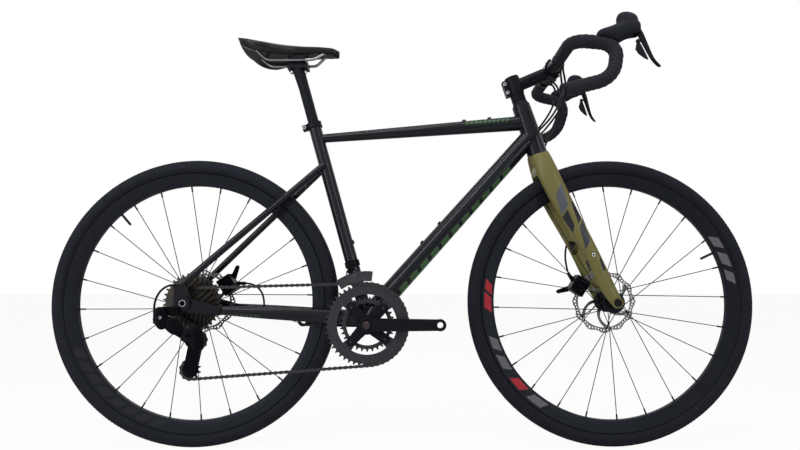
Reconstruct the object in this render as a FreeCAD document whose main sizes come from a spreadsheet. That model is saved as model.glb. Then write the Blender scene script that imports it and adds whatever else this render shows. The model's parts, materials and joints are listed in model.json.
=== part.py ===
import FreeCAD, Part
import math
import os
import Sketcher
from FreeCAD import Placement, Rotation, Vector

# A gravel bike in millimetres: +X forward, +Y to the rider's left, +Z up.
# The origin lies on the ground midway between the two tyre contacts.

SIZES = {
    # Shared allowances
    "overrun": 2.0,
    "running_gap": 0.05,
    "part_gap": 0.3,
    # Frame layout
    "wheelbase": 1016.0,
    "chainstay_length": 426.0,
    "bracket_drop": 51.0,
    "head_angle": 71.8,
    "seat_angle": 74.4,
    "fork_rake": 50.0,
    "fork_length": 402.0,
    # Frame tubes
    "tube_wall": 1.8,
    "head_tube_length": 130.0,
    "head_tube_upper_radius": 22.0,
    "head_tube_lower_radius": 25.0,
    "seat_tube_length": 515.0,
    "seat_tube_radius": 15.9,
    "down_tube_lower_radius": 25.0,
    "down_tube_upper_radius": 22.0,
    "down_tube_lift": 15.0,
    "down_tube_head_height": 52.0,
    "top_tube_rear_height": 21.0,
    "top_tube_rear_width": 20.0,
    "top_tube_front_height": 37.0,
    "top_tube_front_width": 34.0,
    "top_tube_seat_height": 474.0,
    "top_tube_head_height": 85.0,
    "bracket_shell_radius": 21.0,
    "bracket_shell_length": 68.0,
    # Threaded bosses on the frame
    "boss_radius": 5.0,
    "boss_height": 3.0,
    "boss_thread_radius": 2.5,
    "boss_thread_depth": 10.0,
    "boss_spacing": 64.0,
    "down_tube_boss_reach": 224.0,
    "seat_tube_boss_reach": 202.0,
    "top_tube_boss_reach": 92.0,
    # Stays and dropouts
    "stay_inner_spread": 31.0,
    "chainstay_start_spread": 27.5,
    "chainstay_end_spread": 66.0,
    "chainstay_front_reach": 27.0,
    "chainstay_tyre_reach": 93.0,
    "chainstay_middle_reach": 183.0,
    "chainstay_end_reach": 338.0,
    "chainstay_front_lift": 13.0,
    "chainstay_end_lift": 34.0,
    "chainstay_front_height": 32.0,
    "chainstay_end_height": 21.0,
    "chainstay_front_width": 13.0,
    "chainstay_end_width": 17.0,
    "seatstay_radius": 8.0,
    "seatstay_seat_height": 405.0,
    "seatstay_top_spread": 13.0,
    "seatstay_end_spread": 70.0,
    "seatstay_end_back": 12.0,
    "seatstay_end_up": 40.0,
    "stay_bridge_share": 0.16,
    "stay_bridge_radius": 5.0,
    "dropout_spacing": 142.0,
    "dropout_thickness": 7.0,
    "dropout_boss_radius": 17.0,
    "dropout_boss_height": 1.0,
    "dropout_reach": 90.0,
    "dropout_rise": 46.0,
    "hanger_thickness": 5.0,
    "hanger_radius": 9.0,
    "hanger_back": 15.0,
    "hanger_drop": 18.0,
    # Seat clamp, seatpost and saddle
    "seat_clamp_height": 14.0,
    "seat_clamp_wall": 3.0,
    "seat_clamp_lug_length": 11.0,
    "seat_clamp_lug_width": 13.0,
    "seat_clamp_slot": 1.5,
    "clamp_bolt_radius": 2.5,
    "clamp_bolt_head_radius": 4.2,
    "clamp_bolt_head_height": 4.5,
    "seatpost_radius": 13.6,
    "seatpost_wall": 2.2,
    "seatpost_bottom": 395.0,
    "seatpost_top": 636.0,
    "seatpost_head_length": 52.0,
    "seatpost_head_width": 30.0,
    "seatpost_head_height": 14.0,
    "seatpost_setback": 14.0,
    "rail_radius": 3.5,
    "rail_spread": 22.0,
    "rail_height": 948.0,
    "rail_front_x": -222.0,
    "rail_rear_x": -338.0,
    "rail_front_lift": 23.0,
    "rail_rear_lift": 27.0,
    "rail_end_run": 30.0,
    "rail_front_spread": 10.0,
    "rail_rear_spread": 34.0,
    "rail_bend_radius": 24.0,
    "saddle_clamp_length": 40.0,
    "saddle_clamp_plate": 5.0,
    "saddle_clamp_lip": 2.5,
    "saddle_nose_x": -160.0,
    "saddle_length": 246.0,
    "saddle_half_width": 70.0,
    "saddle_height": 988.0,
    "saddle_thickness": 38.0,
    "saddle_shell_thickness": 3.0,
    # Headset, spacers and stem
    "steerer_radius": 14.3,
    "steerer_wall": 2.2,
    "bearing_width": 8.0,
    "headset_cover_height": 8.0,
    "headset_cover_radius": 21.0,
    "spacer_height": 22.0,
    "spacer_radius": 17.5,
    "stem_clamp_height": 40.0,
    "stem_clamp_radius": 19.0,
    "top_cap_height": 5.0,
    "stem_length": 100.0,
    "stem_rise": 5.0,
    "stem_body_radius": 15.5,
    "bar_clamp_radius": 15.9,
    "bar_clamp_width": 44.0,
    "bar_clamp_wall": 5.0,
    "faceplate_gap": 1.5,
    "stem_bolt_radius": 2.5,
    "stem_bolt_head_radius": 4.0,
    "stem_bolt_head_height": 4.0,
    "faceplate_bolt_spread": 15.0,
    # Handlebar, tape and levers
    "bar_radius": 11.9,
    "bar_wall": 2.0,
    "bar_bulge_half_width": 36.0,
    "bar_taper_length": 24.0,
    "bar_half_width": 185.0,
    "bar_hook_half_width": 199.0,
    "bar_drop_half_width": 226.0,
    "bar_end_half_width": 240.0,
    "bar_hook_reach": 94.0,
    "bar_hook_drop": 15.0,
    "bar_drop_reach": 74.0,
    "bar_drop_depth": 99.0,
    "bar_end_back": 36.0,
    "bar_end_depth": 131.0,
    "bar_shoulder_radius": 38.0,
    "bar_hook_radius": 34.0,
    "bar_drop_radius": 66.0,
    "tape_thickness": 3.0,
    "tape_start": 64.0,
    "plug_length": 8.0,
    "plug_cap": 3.0,
    "hood_half_width": 16.5,
    "hood_reach": 144.0,
    "hood_height": 62.0,
    "hood_start": 50.0,
    "hood_slot_depth": 15.0,
    "lever_flare_share": 0.16,
    "lever_pivot_reach": 138.0,
    "lever_pivot_rise": 24.0,
    "lever_pin_radius": 2.0,
    "lever_half_width": 5.5,
    "lever_half_depth": 7.0,
    "lever_length": 92.0,
    "lever_eye_radius": 6.0,
    "lever_pin_half_length": 12.0,
    "paddle_drop": 32.0,
    "paddle_forward": 0.4,
    "paddle_length": 44.0,
    "paddle_width": 18.5,
    "paddle_thickness": 3.0,
    "paddle_eye_radius": 4.5,
    # Fork
    "fork_dropout_spacing": 100.0,
    "fork_dropout_thickness": 8.0,
    "fork_dropout_radius": 13.0,
    "fork_crown_height": 30.0,
    "fork_shoulder_reach": 330.0,
    "fork_crown_spread": 34.0,
    "fork_blade_top_depth": 50.0,
    "fork_blade_top_width": 29.0,
    "fork_blade_middle_depth": 42.0,
    "fork_blade_middle_width": 26.0,
    "fork_blade_end_depth": 26.0,
    "fork_blade_end_width": 16.0,
    "fork_tyre_room": 8.0,
    "fork_rotor_room": 1.2,
    "fork_wall": 3.0,
    "fork_vent_radius": 8.0,
    "fork_vent_height": 376.0,
    # Wheels
    "tyre_radius": 350.0,
    "tyre_width": 38.0,
    "tyre_wall": 2.5,
    "inner_tube_gap": 0.5,
    "inner_tube_wall": 1.0,
    "valve_radius": 3.0,
    "valve_bore_radius": 1.2,
    "valve_length": 34.0,
    "valve_hole_gap": 0.3,
    "rim_outer_radius": 316.0,
    "rim_inner_radius": 286.0,
    "rim_width": 27.0,
    "rim_spine_width": 10.0,
    "rim_shoulder_width": 15.0,
    "rim_shoulder_height": 5.0,
    "rim_well_width": 18.0,
    "rim_well_depth": 6.0,
    "rim_wall": 2.2,
    "spoke_radius": 1.0,
    "nipple_radius": 2.0,
    "nipple_length": 13.0,
    "spoke_stand_off": 1.4,
    "axle_radius": 6.0,
    "axle_head_radius": 9.0,
    "axle_head_height": 2.5,
    "hub_bore_radius": 11.0,
    "hub_core_radius": 14.0,
    "hub_cap_radius": 13.5,
    "hub_flange_radius": 26.0,
    "hub_flange_thickness": 3.2,
    "hub_spoke_circle_radius": 22.5,
    "hub_bearing_width": 7.0,
    "front_flange_right": 31.0,
    "front_flange_left": 20.0,
    "front_rotor_offset": 39.5,
    "rear_flange_right": 13.0,
    "rear_flange_left": 32.0,
    "rear_rotor_offset": 52.0,
    "rotor_radius": 80.0,
    "rotor_thickness": 1.8,
    "rotor_band": 14.0,
    "rotor_arm_width": 9.0,
    "rotor_core_radius": 30.0,
    "rotor_spigot_radius": 17.0,
    "rotor_spigot_reach": 4.0,
    "rotor_carrier_radius": 24.0,
    "rotor_carrier_width": 3.0,
    # Cassette
    "freehub_end": 65.0,
    "freehub_start": 18.5,
    "freehub_radius": 17.0,
    "sprocket_step": 3.72,
    "sprocket_thickness": 1.7,
    "sprocket_spacer_radius": 20.0,
    "lockring_radius": 16.0,
    # Chain
    "chain_line": 48.0,
    "chain_pitch": 12.7,
    "roller_radius": 3.85,
    "roller_seat_gap": 0.2,
    "tooth_height": 2.8,
    "tooth_tip_width": 1.6,
    "chain_plate_half_height": 4.2,
    "chain_plate_thickness": 1.1,
    "chain_inner_width": 2.4,
    # Cranks and chainrings
    "crank_length": 172.5,
    "crank_boss_radius": 19.0,
    "crank_boss_start": 45.5,
    "crank_boss_end": 68.0,
    "crank_eye_radius": 14.0,
    "crank_eye_start": 62.0,
    "crank_eye_end": 75.5,
    "crank_root_height": 31.0,
    "crank_tip_height": 26.0,
    "crank_root_inner": 53.0,
    "pedal_thread_radius": 7.14,
    "spindle_radius": 12.0,
    "cup_radius": 20.0,
    "cup_width": 10.0,
    "chainring_thickness": 1.9,
    "chainring_gap": 7.5,
    "chainring_band": 26.0,
    "small_ring_inner_radius": 50.0,
    "spider_thickness": 5.0,
    "spider_arm_width": 30.0,
    "spider_hub_radius": 24.0,
    "bolt_circle_radius": 55.0,
    "chainring_tab_radius": 11.0,
    "chainring_bolt_radius": 4.0,
    "chainring_bolt_head_radius": 6.0,
    "chainring_bolt_head_height": 2.0,
    # Front derailleur
    "front_mech_height": 150.0,
    "front_mech_band_height": 14.0,
    "front_mech_band_wall": 2.5,
    "front_mech_pivot_side": 40.0,
    "front_mech_link_out": 5.0,
    "front_mech_link_down": 20.0,
    "front_mech_link_width": 14.0,
    "front_mech_link_thickness": 6.0,
    "front_mech_pin_radius": 2.0,
    "front_mech_clearance": 2.4,
    "front_mech_plate_height": 24.0,
    "front_mech_plate_thickness": 1.2,
    "front_mech_cage_half_width": 4.5,
    # Rear derailleur
    "mech_pivot_back": 37.0,
    "mech_pivot_drop": 38.0,
    "mech_pivot_side": 88.0,
    "mech_link_length": 58.0,
    "mech_link_slope": 31.3,
    "mech_slant": 45.0,
    "mech_link_spacing": 16.0,
    "mech_link_thickness": 6.0,
    "mech_link_width": 16.0,
    "mech_link_end": 5.0,
    "mech_pin_radius": 2.0,
    "mech_tab_thickness": 3.0,
    "mech_tab_gap": 0.5,
    "mech_knuckle_start": 8.0,
    "mech_knuckle_length": 14.0,
    "mech_boss_radius": 11.0,
    "mech_stop_radius": 4.5,
    "mech_shoulder_back": 42.0,
    "mech_shoulder_drop": 16.0,
    "mech_shoulder_radius": 9.0,
    "mech_shoulder_width": 11.0,
    "guide_pulley_forward": 21.0,
    "guide_pulley_drop": 88.0,
    "pulley_distance": 70.0,
    "pulley_thickness": 1.9,
    "pulley_hub_radius": 6.0,
    "pulley_pin_radius": 2.5,
    "cage_plate_thickness": 1.5,
    "cage_half_width": 4.6,
    "cage_end_radius": 15.0,
    "cage_boss_radius": 6.0,
    "cage_sleeve_radius": 11.0,
    # Brakes
    "caliper_inner_reach": 56.0,
    "caliper_outer_reach": 93.0,
    "caliper_half_length": 22.0,
    "caliper_inner_width": 12.0,
    "caliper_outer_width": 16.0,
    "caliper_slot_reach": 84.0,
    "caliper_centre_reach": 72.0,
    "pad_thickness": 3.0,
    "pad_half_length": 12.0,
    "front_caliper_angle": 148.0,
    "rear_caliper_angle": 34.0,
    "front_stop_reach": 113.5,
    "front_stop_lag": 8.0,
    "rear_stop_reach": 111.6,
    "rear_stop_lag": 10.0,
    "brake_arm_length": 50.0,
    "brake_arm_thickness": 4.0,
    "brake_arm_root_radius": 9.0,
    "brake_arm_tip_radius": 5.0,
    "brake_pivot_radius": 4.0,
    "front_arm_angle": 196.0,
    "rear_arm_angle": 70.0,
    # Cables
    "housing_radius": 2.5,
}

SADDLE_DRAW_SHARE = 0.86
SADDLE_EDGE_SHARE = 0.1
SPOKE_COUNT = 24
FRONT_VALVE_ANGLE = 25.0
REAR_VALVE_ANGLE = 131.0
SPOKE_LACING_ANGLE = 50.0
ROTOR_ARM_COUNT = 6
ROTOR_ARM_SLANT = 30.0
SPROCKET_TEETH = (11, 13, 15, 17, 19, 21, 23, 25, 27, 30, 34)
CHAIN_SPROCKET = 3
LARGE_RING_TEETH = 48
SMALL_RING_TEETH = 31
PULLEY_TEETH = 11
CAGE_ANGLE_RANGE = (225.0, 285.0)
CAGE_USUAL_ANGLE = 257.0
HALVING_COUNT = 60
SPIDER_ARM_ANGLES = (45.0, 132.0, 228.0, 321.0)
FRONT_MECH_ARC = (84.0, 126.0)

doc = FreeCAD.newDocument("GravelBike")
sheet = doc.addObject("Spreadsheet::Sheet", "Sizes")
for row, (alias, value) in enumerate(SIZES.items(), start=1):
    sheet.set(f"A{row}", alias)
    sheet.set(f"B{row}", str(value))
    sheet.setAlias(f"B{row}", alias)
doc.recompute()

nodes = []


class SheetValues:
    """The sheet's cells, read by their names."""

    def __getattr__(self, alias):
        return float(sheet.get(alias))


S = SheetValues()
SIDEWAYS = Vector(0, 1, 0)
UPWARD = Vector(0, 0, 1)
FORWARD = Vector(1, 0, 0)
MIDDLE_PLANE = Vector(0, 0, 0)
TURN_TO_AXLE = Rotation(UPWARD, SIDEWAYS)


# Helpers that make shapes and document objects

def bound(kind, name, place, **formulas):
    """A document object whose properties follow formulas of the sheet."""
    item = doc.addObject(kind, name)
    for prop, formula in formulas.items():
        item.setExpression(prop, formula)
    item.Placement = place
    return item


def keep(label, item):
    """Name a finished sub-part and list it for writing."""
    item.Label = label
    nodes.append(item)
    return item


def piece(label, shape):
    """A sub-part whose shape is worked out from the sheet's values."""
    item = doc.addObject("Part::Feature", label)
    item.Shape = shape
    item.Placement = Placement()
    return keep(label, item)


def group(label, shapes):
    """A sub-part of several separate solids."""
    return piece(label, Part.makeCompound(shapes))


def cut_object(name, base, tool):
    """The document's difference of two objects."""
    item = doc.addObject("Part::Cut", name)
    item.Base = base
    item.Tool = tool
    return item


def fused_object(name, items):
    """The document's union of several objects."""
    item = doc.addObject("Part::MultiFuse", name)
    item.Shapes = items
    return item


def rod(start, end, radius):
    """A round bar between two points."""
    return Part.makeCylinder(radius, (end - start).Length, start, end - start)


def taper(start, end, start_radius, end_radius):
    """A round bar whose radius changes from end to end."""
    if math.isclose(start_radius, end_radius):
        return rod(start, end, start_radius)
    return Part.makeCone(start_radius, end_radius, (end - start).Length, start, end - start)


def ring(start, end, outer, inner):
    """A round sleeve between two points."""
    over = (end - start).normalize() * S.overrun
    return rod(start, end, outer).cut(rod(start - over, end + over, inner))


def united(shapes):
    """One solid from touching or crossing solids."""
    return shapes[0].multiFuse(shapes[1:]).removeSplitter()


def largest(shape):
    """The largest solid of a shape."""
    return max(shape.Solids, key=lambda solid: solid.Volume)


def mirrored(shape):
    """The shape seen in the bike's middle plane."""
    return shape.mirror(MIDDLE_PLANE, SIDEWAYS)


def oval(centre, normal, long_way, half_long, half_short):
    """An ellipse across a normal, with its long axis towards long_way."""
    normal = Vector(normal).normalize()
    along = (long_way - normal * long_way.dot(normal)).normalize()
    across = normal.cross(along)
    curve = Part.Ellipse(centre + along * half_long, centre + across * half_short, centre)
    return Part.Wire(curve.toShape())


def loft(wires, ruled=False):
    """A solid through closed outlines."""
    return Part.makeLoft(wires, True, ruled)


def slab(corners, thickness):
    """A flat plate: an outline of points, pushed along a vector."""
    return Part.Face(Part.makePolygon(corners + corners[:1])).extrude(thickness)


def capsule(start, end, start_radius, end_radius, thickness):
    """A plate round two points, pushed along a vector."""
    along = (end - start).normalize()
    across = along.cross(Vector(thickness).normalize())
    corners = [
        start + across * start_radius,
        end + across * end_radius,
        end - across * end_radius,
        start - across * start_radius,
    ]
    plate = slab(corners, thickness)
    ends = [rod(start, start + thickness, start_radius), rod(end, end + thickness, end_radius)]
    return united([plate] + ends)


def route(points, radii):
    """A path of straight runs joined by tangent arcs."""
    edges = []
    last = points[0]
    for before, corner, after, radius in zip(points, points[1:], points[2:], radii):
        back = (before - corner).normalize()
        ahead = (after - corner).normalize()
        half = back.getAngle(ahead) / 2
        reach = radius / math.tan(half)
        bisector = (back + ahead).normalize()
        middle = corner + bisector * (radius / math.sin(half) - radius)
        edges.append(Part.LineSegment(last, corner + back * reach).toShape())
        last = corner + ahead * reach
        edges.append(Part.Arc(corner + back * reach, middle, last).toShape())
    edges.append(Part.LineSegment(last, points[-1]).toShape())
    return Part.Wire(edges)


def pipe(path, radius):
    """A round bar along a path."""
    first = path.OrderedEdges[0]
    start = first.valueAt(first.FirstParameter)
    heading = first.tangentAt(first.FirstParameter)
    profile = Part.Wire(Part.makeCircle(radius, start, heading))
    return path.makePipeShell([profile], True, False)


def cable(name, points):
    """A housing along its route, with each bend as wide as its runs allow."""
    run_share = 0.45
    radii = []
    for before, corner, after in zip(points, points[1:], points[2:]):
        shorter = min((corner - before).Length, (after - corner).Length)
        turn = (corner - before).getAngle(after - corner)
        radii.append(run_share * shorter / math.tan(turn / 2))
    path = route(points, radii)
    solid = pipe(path, S.housing_radius)
    expected = math.pi * S.housing_radius ** 2 * path.Length
    print(f"{name}: length {path.Length:.0f} mm, bend radii {[round(r) for r in radii]},",
          f"volume {solid.Volume / expected:.3f} of section times length")
    return solid


def turned_body(name, outlines, place):
    """A body turned about its Y axis: outlines are pairs of radius and offset formulas."""
    body = doc.addObject("PartDesign::Body", name)
    plane = next(item for item in body.Origin.OriginFeatures if item.Role == "XY_Plane")
    sketch = body.newObject("Sketcher::SketchObject", name + "_outline")
    sketch.AttachmentSupport = (plane, "")
    sketch.MapMode = "FlatFace"
    for corners in outlines:
        add_outline(sketch, corners)
    turn = body.newObject("PartDesign::Revolution", name + "_turn")
    turn.Profile = sketch
    turn.ReferenceAxis = (sketch, ["V_Axis"])
    turn.Angle = 360
    body.Placement = place
    return body


def add_outline(sketch, corners):
    """Add a closed outline whose corners are held at formulas of the sheet."""
    first = sketch.GeometryCount
    count = len(corners)
    spots = [Vector(value_of(radius), value_of(offset), 0) for radius, offset in corners]
    for index, spot in enumerate(spots):
        sketch.addGeometry(Part.LineSegment(spot, spots[(index + 1) % count]), False)
    for index in range(count):
        following = first + (index + 1) % count
        sketch.addConstraint(Sketcher.Constraint("Coincident", first + index, 2, following, 1))
    for index, corner in enumerate(corners):
        for kind, formula in zip(("DistanceX", "DistanceY"), corner):
            held = Sketcher.Constraint(kind, -1, 1, first + index, 1, value_of(formula))
            number = sketch.addConstraint(held)
            sketch.setExpression(f"Constraints[{number}]", formula)


def value_of(formula):
    """The present value of a formula of the sheet."""
    return float(sheet.evalExpression(formula.replace("Sizes.", "")))


# Points and directions that the frame is laid out on

rear_hub = Vector(-S.wheelbase / 2, 0, S.tyre_radius)
front_hub = Vector(S.wheelbase / 2, 0, S.tyre_radius)
stay_run = math.sqrt(S.chainstay_length ** 2 - S.bracket_drop ** 2)
bracket = rear_hub + Vector(stay_run, 0, -S.bracket_drop)
head_slope = math.radians(S.head_angle)
head_up = Vector(-math.cos(head_slope), 0, math.sin(head_slope))
head_out = Vector(math.sin(head_slope), 0, math.cos(head_slope))
seat_slope = math.radians(S.seat_angle)
seat_up = Vector(-math.cos(seat_slope), 0, math.sin(seat_slope))
seat_out = Vector(math.sin(seat_slope), 0, math.cos(seat_slope))
axis_foot = front_hub - head_out * S.fork_rake


def on_head(height):
    """A point of the steering axis, measured up from beside the front axle."""
    return axis_foot + head_up * height


def on_seat(height):
    """A point of the seat tube's centre line, measured up from the bracket."""
    return bracket + seat_up * height


def around(centre, angle, reach):
    """A point at an angle and reach from a centre, seen from the right side."""
    turn = math.radians(angle)
    return centre + Vector(math.cos(turn), 0, math.sin(turn)) * reach


def aside(point, offset):
    """The point moved sideways."""
    return point + SIDEWAYS * offset


head_low = S.fork_length
head_high = S.fork_length + S.head_tube_length


# Frame tubes, each mitred to the tube that it is welded to

shell_half = S.bracket_shell_length / 2
shell_outer = rod(aside(bracket, -shell_half), aside(bracket, shell_half), S.bracket_shell_radius)
seat_outer = rod(bracket, on_seat(S.seat_tube_length), S.seat_tube_radius)
head_outer = taper(on_head(head_low), on_head(head_high),
                   S.head_tube_lower_radius, S.head_tube_upper_radius)
bearing_radius = S.head_tube_upper_radius - 2 * S.tube_wall


def boss(foot, direction):
    """A raised threaded boss and the tool that bores its thread."""
    raised = rod(foot - direction * S.boss_height, foot + direction * S.boss_height, S.boss_radius)
    top = foot + direction * S.boss_height
    bore = rod(top + direction * S.overrun, top - direction * S.boss_thread_depth,
               S.boss_thread_radius)
    backing = rod(foot, top - direction * (S.boss_thread_depth + S.boss_height), S.boss_radius)
    return raised.fuse(backing), bore


def make_head_tube():
    over = head_up * S.overrun
    bore = rod(on_head(head_low) - over, on_head(head_high) + over, bearing_radius)
    return head_outer.cut(bore)


def down_tube_ends():
    """The down tube's centre line, from the bracket to the steering axis."""
    return bracket + UPWARD * S.down_tube_lift, on_head(head_low + S.down_tube_head_height)


def make_down_tube():
    low, high = down_tube_ends()
    along = (high - low).normalize()
    upward = Vector(-along.z, 0, along.x)
    full = taper(low, high, S.down_tube_lower_radius, S.down_tube_upper_radius)
    length = (high - low).Length
    hollow = taper(low, high, S.down_tube_lower_radius - S.tube_wall,
                   S.down_tube_upper_radius - S.tube_wall)
    outer_cut = full.cut(shell_outer).cut(head_outer).cut(seat_outer)
    tube = outer_cut.cut(hollow)
    for step in range(2):
        reach = S.down_tube_boss_reach + step * S.boss_spacing
        share = reach / length
        radius = S.down_tube_lower_radius * (1 - share) + S.down_tube_upper_radius * share
        raised, bore = boss(low + along * reach + upward * radius, upward)
        tube = tube.fuse(raised).cut(bore)
    return largest(tube), full


def make_top_tube():
    rear = on_seat(S.top_tube_seat_height)
    front = on_head(head_low + S.top_tube_head_height)
    along = (front - rear).normalize()
    upward = Vector(-along.z, 0, along.x)
    spots = ((rear, S.top_tube_rear_height, S.top_tube_rear_width),
             (front, S.top_tube_front_height, S.top_tube_front_width))
    full = loft([oval(at, along, UPWARD, tall / 2, wide / 2) for at, tall, wide in spots], True)
    hollow = loft([oval(at, along, UPWARD, tall / 2 - S.tube_wall, wide / 2 - S.tube_wall)
                   for at, tall, wide in spots], True)
    tube = full.cut(head_outer).cut(seat_outer).cut(hollow)
    length = (front - rear).Length
    for step in range(2):
        reach = length - S.top_tube_boss_reach - step * S.boss_spacing
        share = reach / length
        tall = S.top_tube_rear_height * (1 - share) + S.top_tube_front_height * share
        raised, bore = boss(rear + along * reach + upward * (tall / 2), upward)
        tube = tube.fuse(raised).cut(bore)
    return largest(tube)


def make_seat_tube():
    over = seat_up * S.overrun
    bore = rod(bracket, on_seat(S.seat_tube_length) + over, S.seatpost_radius + S.running_gap)
    raised, thread = boss(on_seat(S.seat_tube_boss_reach) + seat_out * S.seat_tube_radius, seat_out)
    tube = seat_outer.cut(bore).fuse(raised).cut(thread).cut(shell_outer)
    return largest(tube)


down_tube_shape, down_tube_outer = make_down_tube()
piece("head_tube", make_head_tube())
piece("down_tube", down_tube_shape)
piece("top_tube", make_top_tube())
piece("seat_tube", make_seat_tube())

shell_place = Placement(aside(bracket, -shell_half), TURN_TO_AXLE)
shell_bore_place = Placement(aside(bracket, -shell_half - S.overrun), TURN_TO_AXLE)
keep("bottom_bracket_shell", cut_object(
    "bracket_shell",
    bound("Part::Cylinder", "shell_wall", shell_place,
          Radius="Sizes.bracket_shell_radius", Height="Sizes.bracket_shell_length"),
    bound("Part::Cylinder", "shell_bore", shell_bore_place,
          Radius="Sizes.bracket_shell_radius - 2 * Sizes.tube_wall",
          Height="Sizes.bracket_shell_length + 2 * Sizes.overrun")))


# Stays, bridge, dropouts and derailleur hanger

def make_dropout(side):
    """A rear dropout: a plate round the axle with arms to the two stays."""
    inner = side * S.dropout_spacing / 2
    push = SIDEWAYS * (side * S.dropout_thickness)
    outline_shares = ((-0.17, -0.36), (0.2, -0.48), (0.93, -0.6), (0.98, -0.2), (0.2, 0.22),
                      (0.03, 0.98), (-0.27, 0.9), (-0.22, 0.1))
    corners = [aside(rear_hub + Vector(along * S.dropout_reach, 0, up * S.dropout_rise), inner)
               for along, up in outline_shares]
    plate = slab(corners, push)
    boss_end = inner + side * (S.dropout_thickness + S.dropout_boss_height)
    eye = rod(aside(rear_hub, inner), aside(rear_hub, boss_end), S.dropout_boss_radius)
    bore = rod(aside(rear_hub, inner - side * S.overrun), aside(rear_hub, boss_end + side * S.overrun),
               S.axle_radius + S.running_gap)
    return united([plate, eye]).cut(bore)


def make_chainstay(side, dropout):
    """A chainstay: narrow beside the tyre and the rings, deeper at the bracket."""
    back = (S.chainstay_front_reach, S.chainstay_tyre_reach, S.chainstay_middle_reach,
            S.chainstay_end_reach)
    span = back[-1] - back[1]
    middle_share = (back[2] - back[1]) / span
    spreads = (S.chainstay_start_spread, S.stay_inner_spread,
               S.stay_inner_spread + (S.chainstay_end_spread - S.stay_inner_spread) * middle_share,
               S.chainstay_end_spread)
    tall = (S.chainstay_front_height, S.chainstay_front_height,
            S.chainstay_front_height
            + (S.chainstay_end_height - S.chainstay_front_height) * middle_share / 2,
            S.chainstay_end_height)
    wide = (S.chainstay_front_width, S.chainstay_front_width, S.chainstay_end_width,
            S.chainstay_end_width)
    full_rise = S.chainstay_end_lift - S.chainstay_front_lift
    wires = []
    for reach, spread, high, thick in zip(back, spreads, tall, wide):
        rise = S.chainstay_front_lift + full_rise * (reach - back[0]) / (back[-1] - back[0])
        centre = bracket + Vector(-reach, side * spread, rise)
        wires.append(oval(centre, FORWARD, UPWARD, high / 2, thick / 2))
    return largest(loft(wires).cut(shell_outer).cut(dropout))


def seatstay_ends(side):
    """The centre line of a seatstay, from the seat tube to the dropout."""
    top = aside(on_seat(S.seatstay_seat_height), side * S.seatstay_top_spread)
    low = rear_hub + Vector(-S.seatstay_end_back, side * S.seatstay_end_spread, S.seatstay_end_up)
    return top, low


def make_seatstay(side, dropout):
    top, low = seatstay_ends(side)
    return largest(rod(top, low, S.seatstay_radius).cut(seat_outer).cut(dropout))


def make_bridge(stays):
    """The bridge between the two seatstays above the tyre."""
    right_top, right_low = seatstay_ends(-1)
    spot = right_top + (right_low - right_top) * S.stay_bridge_share
    full = rod(spot, aside(spot, -2 * spot.y), S.stay_bridge_radius)
    for stay in stays:
        full = full.cut(stay)
    return largest(full)


def make_hanger():
    """The replaceable hanger, bolted to the outside of the right dropout."""
    face = -S.dropout_spacing / 2 - S.dropout_thickness
    root = aside(rear_hub, face - S.dropout_boss_height)
    eye = root + Vector(-S.hanger_back, 0, -S.hanger_drop)
    push = SIDEWAYS * -S.hanger_thickness
    plate = capsule(root, eye, S.dropout_boss_radius, S.hanger_radius, push)
    over = SIDEWAYS * S.overrun
    return plate.cut(rod(root + over, root + push - over, S.axle_head_radius + S.part_gap)), eye


dropouts = {side: make_dropout(side) for side in (-1, 1)}
chainstays = {side: make_chainstay(side, dropouts[side]) for side in (-1, 1)}
seatstays = {side: make_seatstay(side, dropouts[side]) for side in (-1, 1)}
hanger, hanger_eye = make_hanger()
group("rear_stays", list(chainstays.values()) + list(seatstays.values())
      + [make_bridge(list(seatstays.values()))])
group("dropouts", list(dropouts.values()) + [hanger])


# Seat clamp

def make_seat_clamp():
    """A split collar at the top of the seat tube, with its bolt behind."""
    low = on_seat(S.seat_tube_length - S.seat_clamp_height)
    high = on_seat(S.seat_tube_length)
    inner = S.seat_tube_radius
    outer = inner + S.seat_clamp_wall
    collar = ring(low, high, outer, inner)
    middle = (low + high) / 2 - seat_out * outer
    lug_half = S.seat_clamp_lug_width / 2
    lug_rise = seat_up * (S.seat_clamp_height / 2)
    corners = [
        middle + seat_out * S.seat_clamp_wall + lug_rise,
        middle - seat_out * S.seat_clamp_lug_length + lug_rise,
        middle - seat_out * S.seat_clamp_lug_length - lug_rise,
        middle + seat_out * S.seat_clamp_wall - lug_rise,
    ]
    lug = slab([aside(corner, -lug_half) for corner in corners], SIDEWAYS * S.seat_clamp_lug_width)
    lug = lug.cut(seat_outer)
    slot_half = S.seat_clamp_slot / 2
    deep = [
        (low + high) / 2 + lug_rise * 2,
        middle - seat_out * 2 * S.seat_clamp_lug_length + lug_rise * 2,
        middle - seat_out * 2 * S.seat_clamp_lug_length - lug_rise * 2,
        (low + high) / 2 - lug_rise * 2,
    ]
    slot = slab([aside(corner, -slot_half) for corner in deep], SIDEWAYS * S.seat_clamp_slot)
    spot = middle - seat_out * (S.seat_clamp_lug_length / 2)
    shank = rod(aside(spot, -lug_half), aside(spot, lug_half), S.clamp_bolt_radius)
    head = rod(aside(spot, -lug_half - S.clamp_bolt_head_height), aside(spot, -lug_half),
               S.clamp_bolt_head_radius)
    body = united([collar, lug]).cut(slot).cut(shank)
    return largest(body), united([shank, head])


group("seat_clamp", list(make_seat_clamp()))


# Bearings that the frame holds: bottom bracket cups and headset bearings

def make_bearings():
    steerer_clear = S.steerer_radius + S.running_gap
    low = ring(on_head(head_low), on_head(head_low + S.bearing_width), bearing_radius, steerer_clear)
    high = ring(on_head(head_high - S.bearing_width), on_head(head_high), bearing_radius,
                steerer_clear)
    cups = []
    for side in (-1, 1):
        inner = aside(bracket, side * shell_half)
        outer = aside(bracket, side * (shell_half + S.cup_width))
        cups.append(ring(inner, outer, S.cup_radius, S.spindle_radius + S.running_gap))
    return [low, high] + cups


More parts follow.
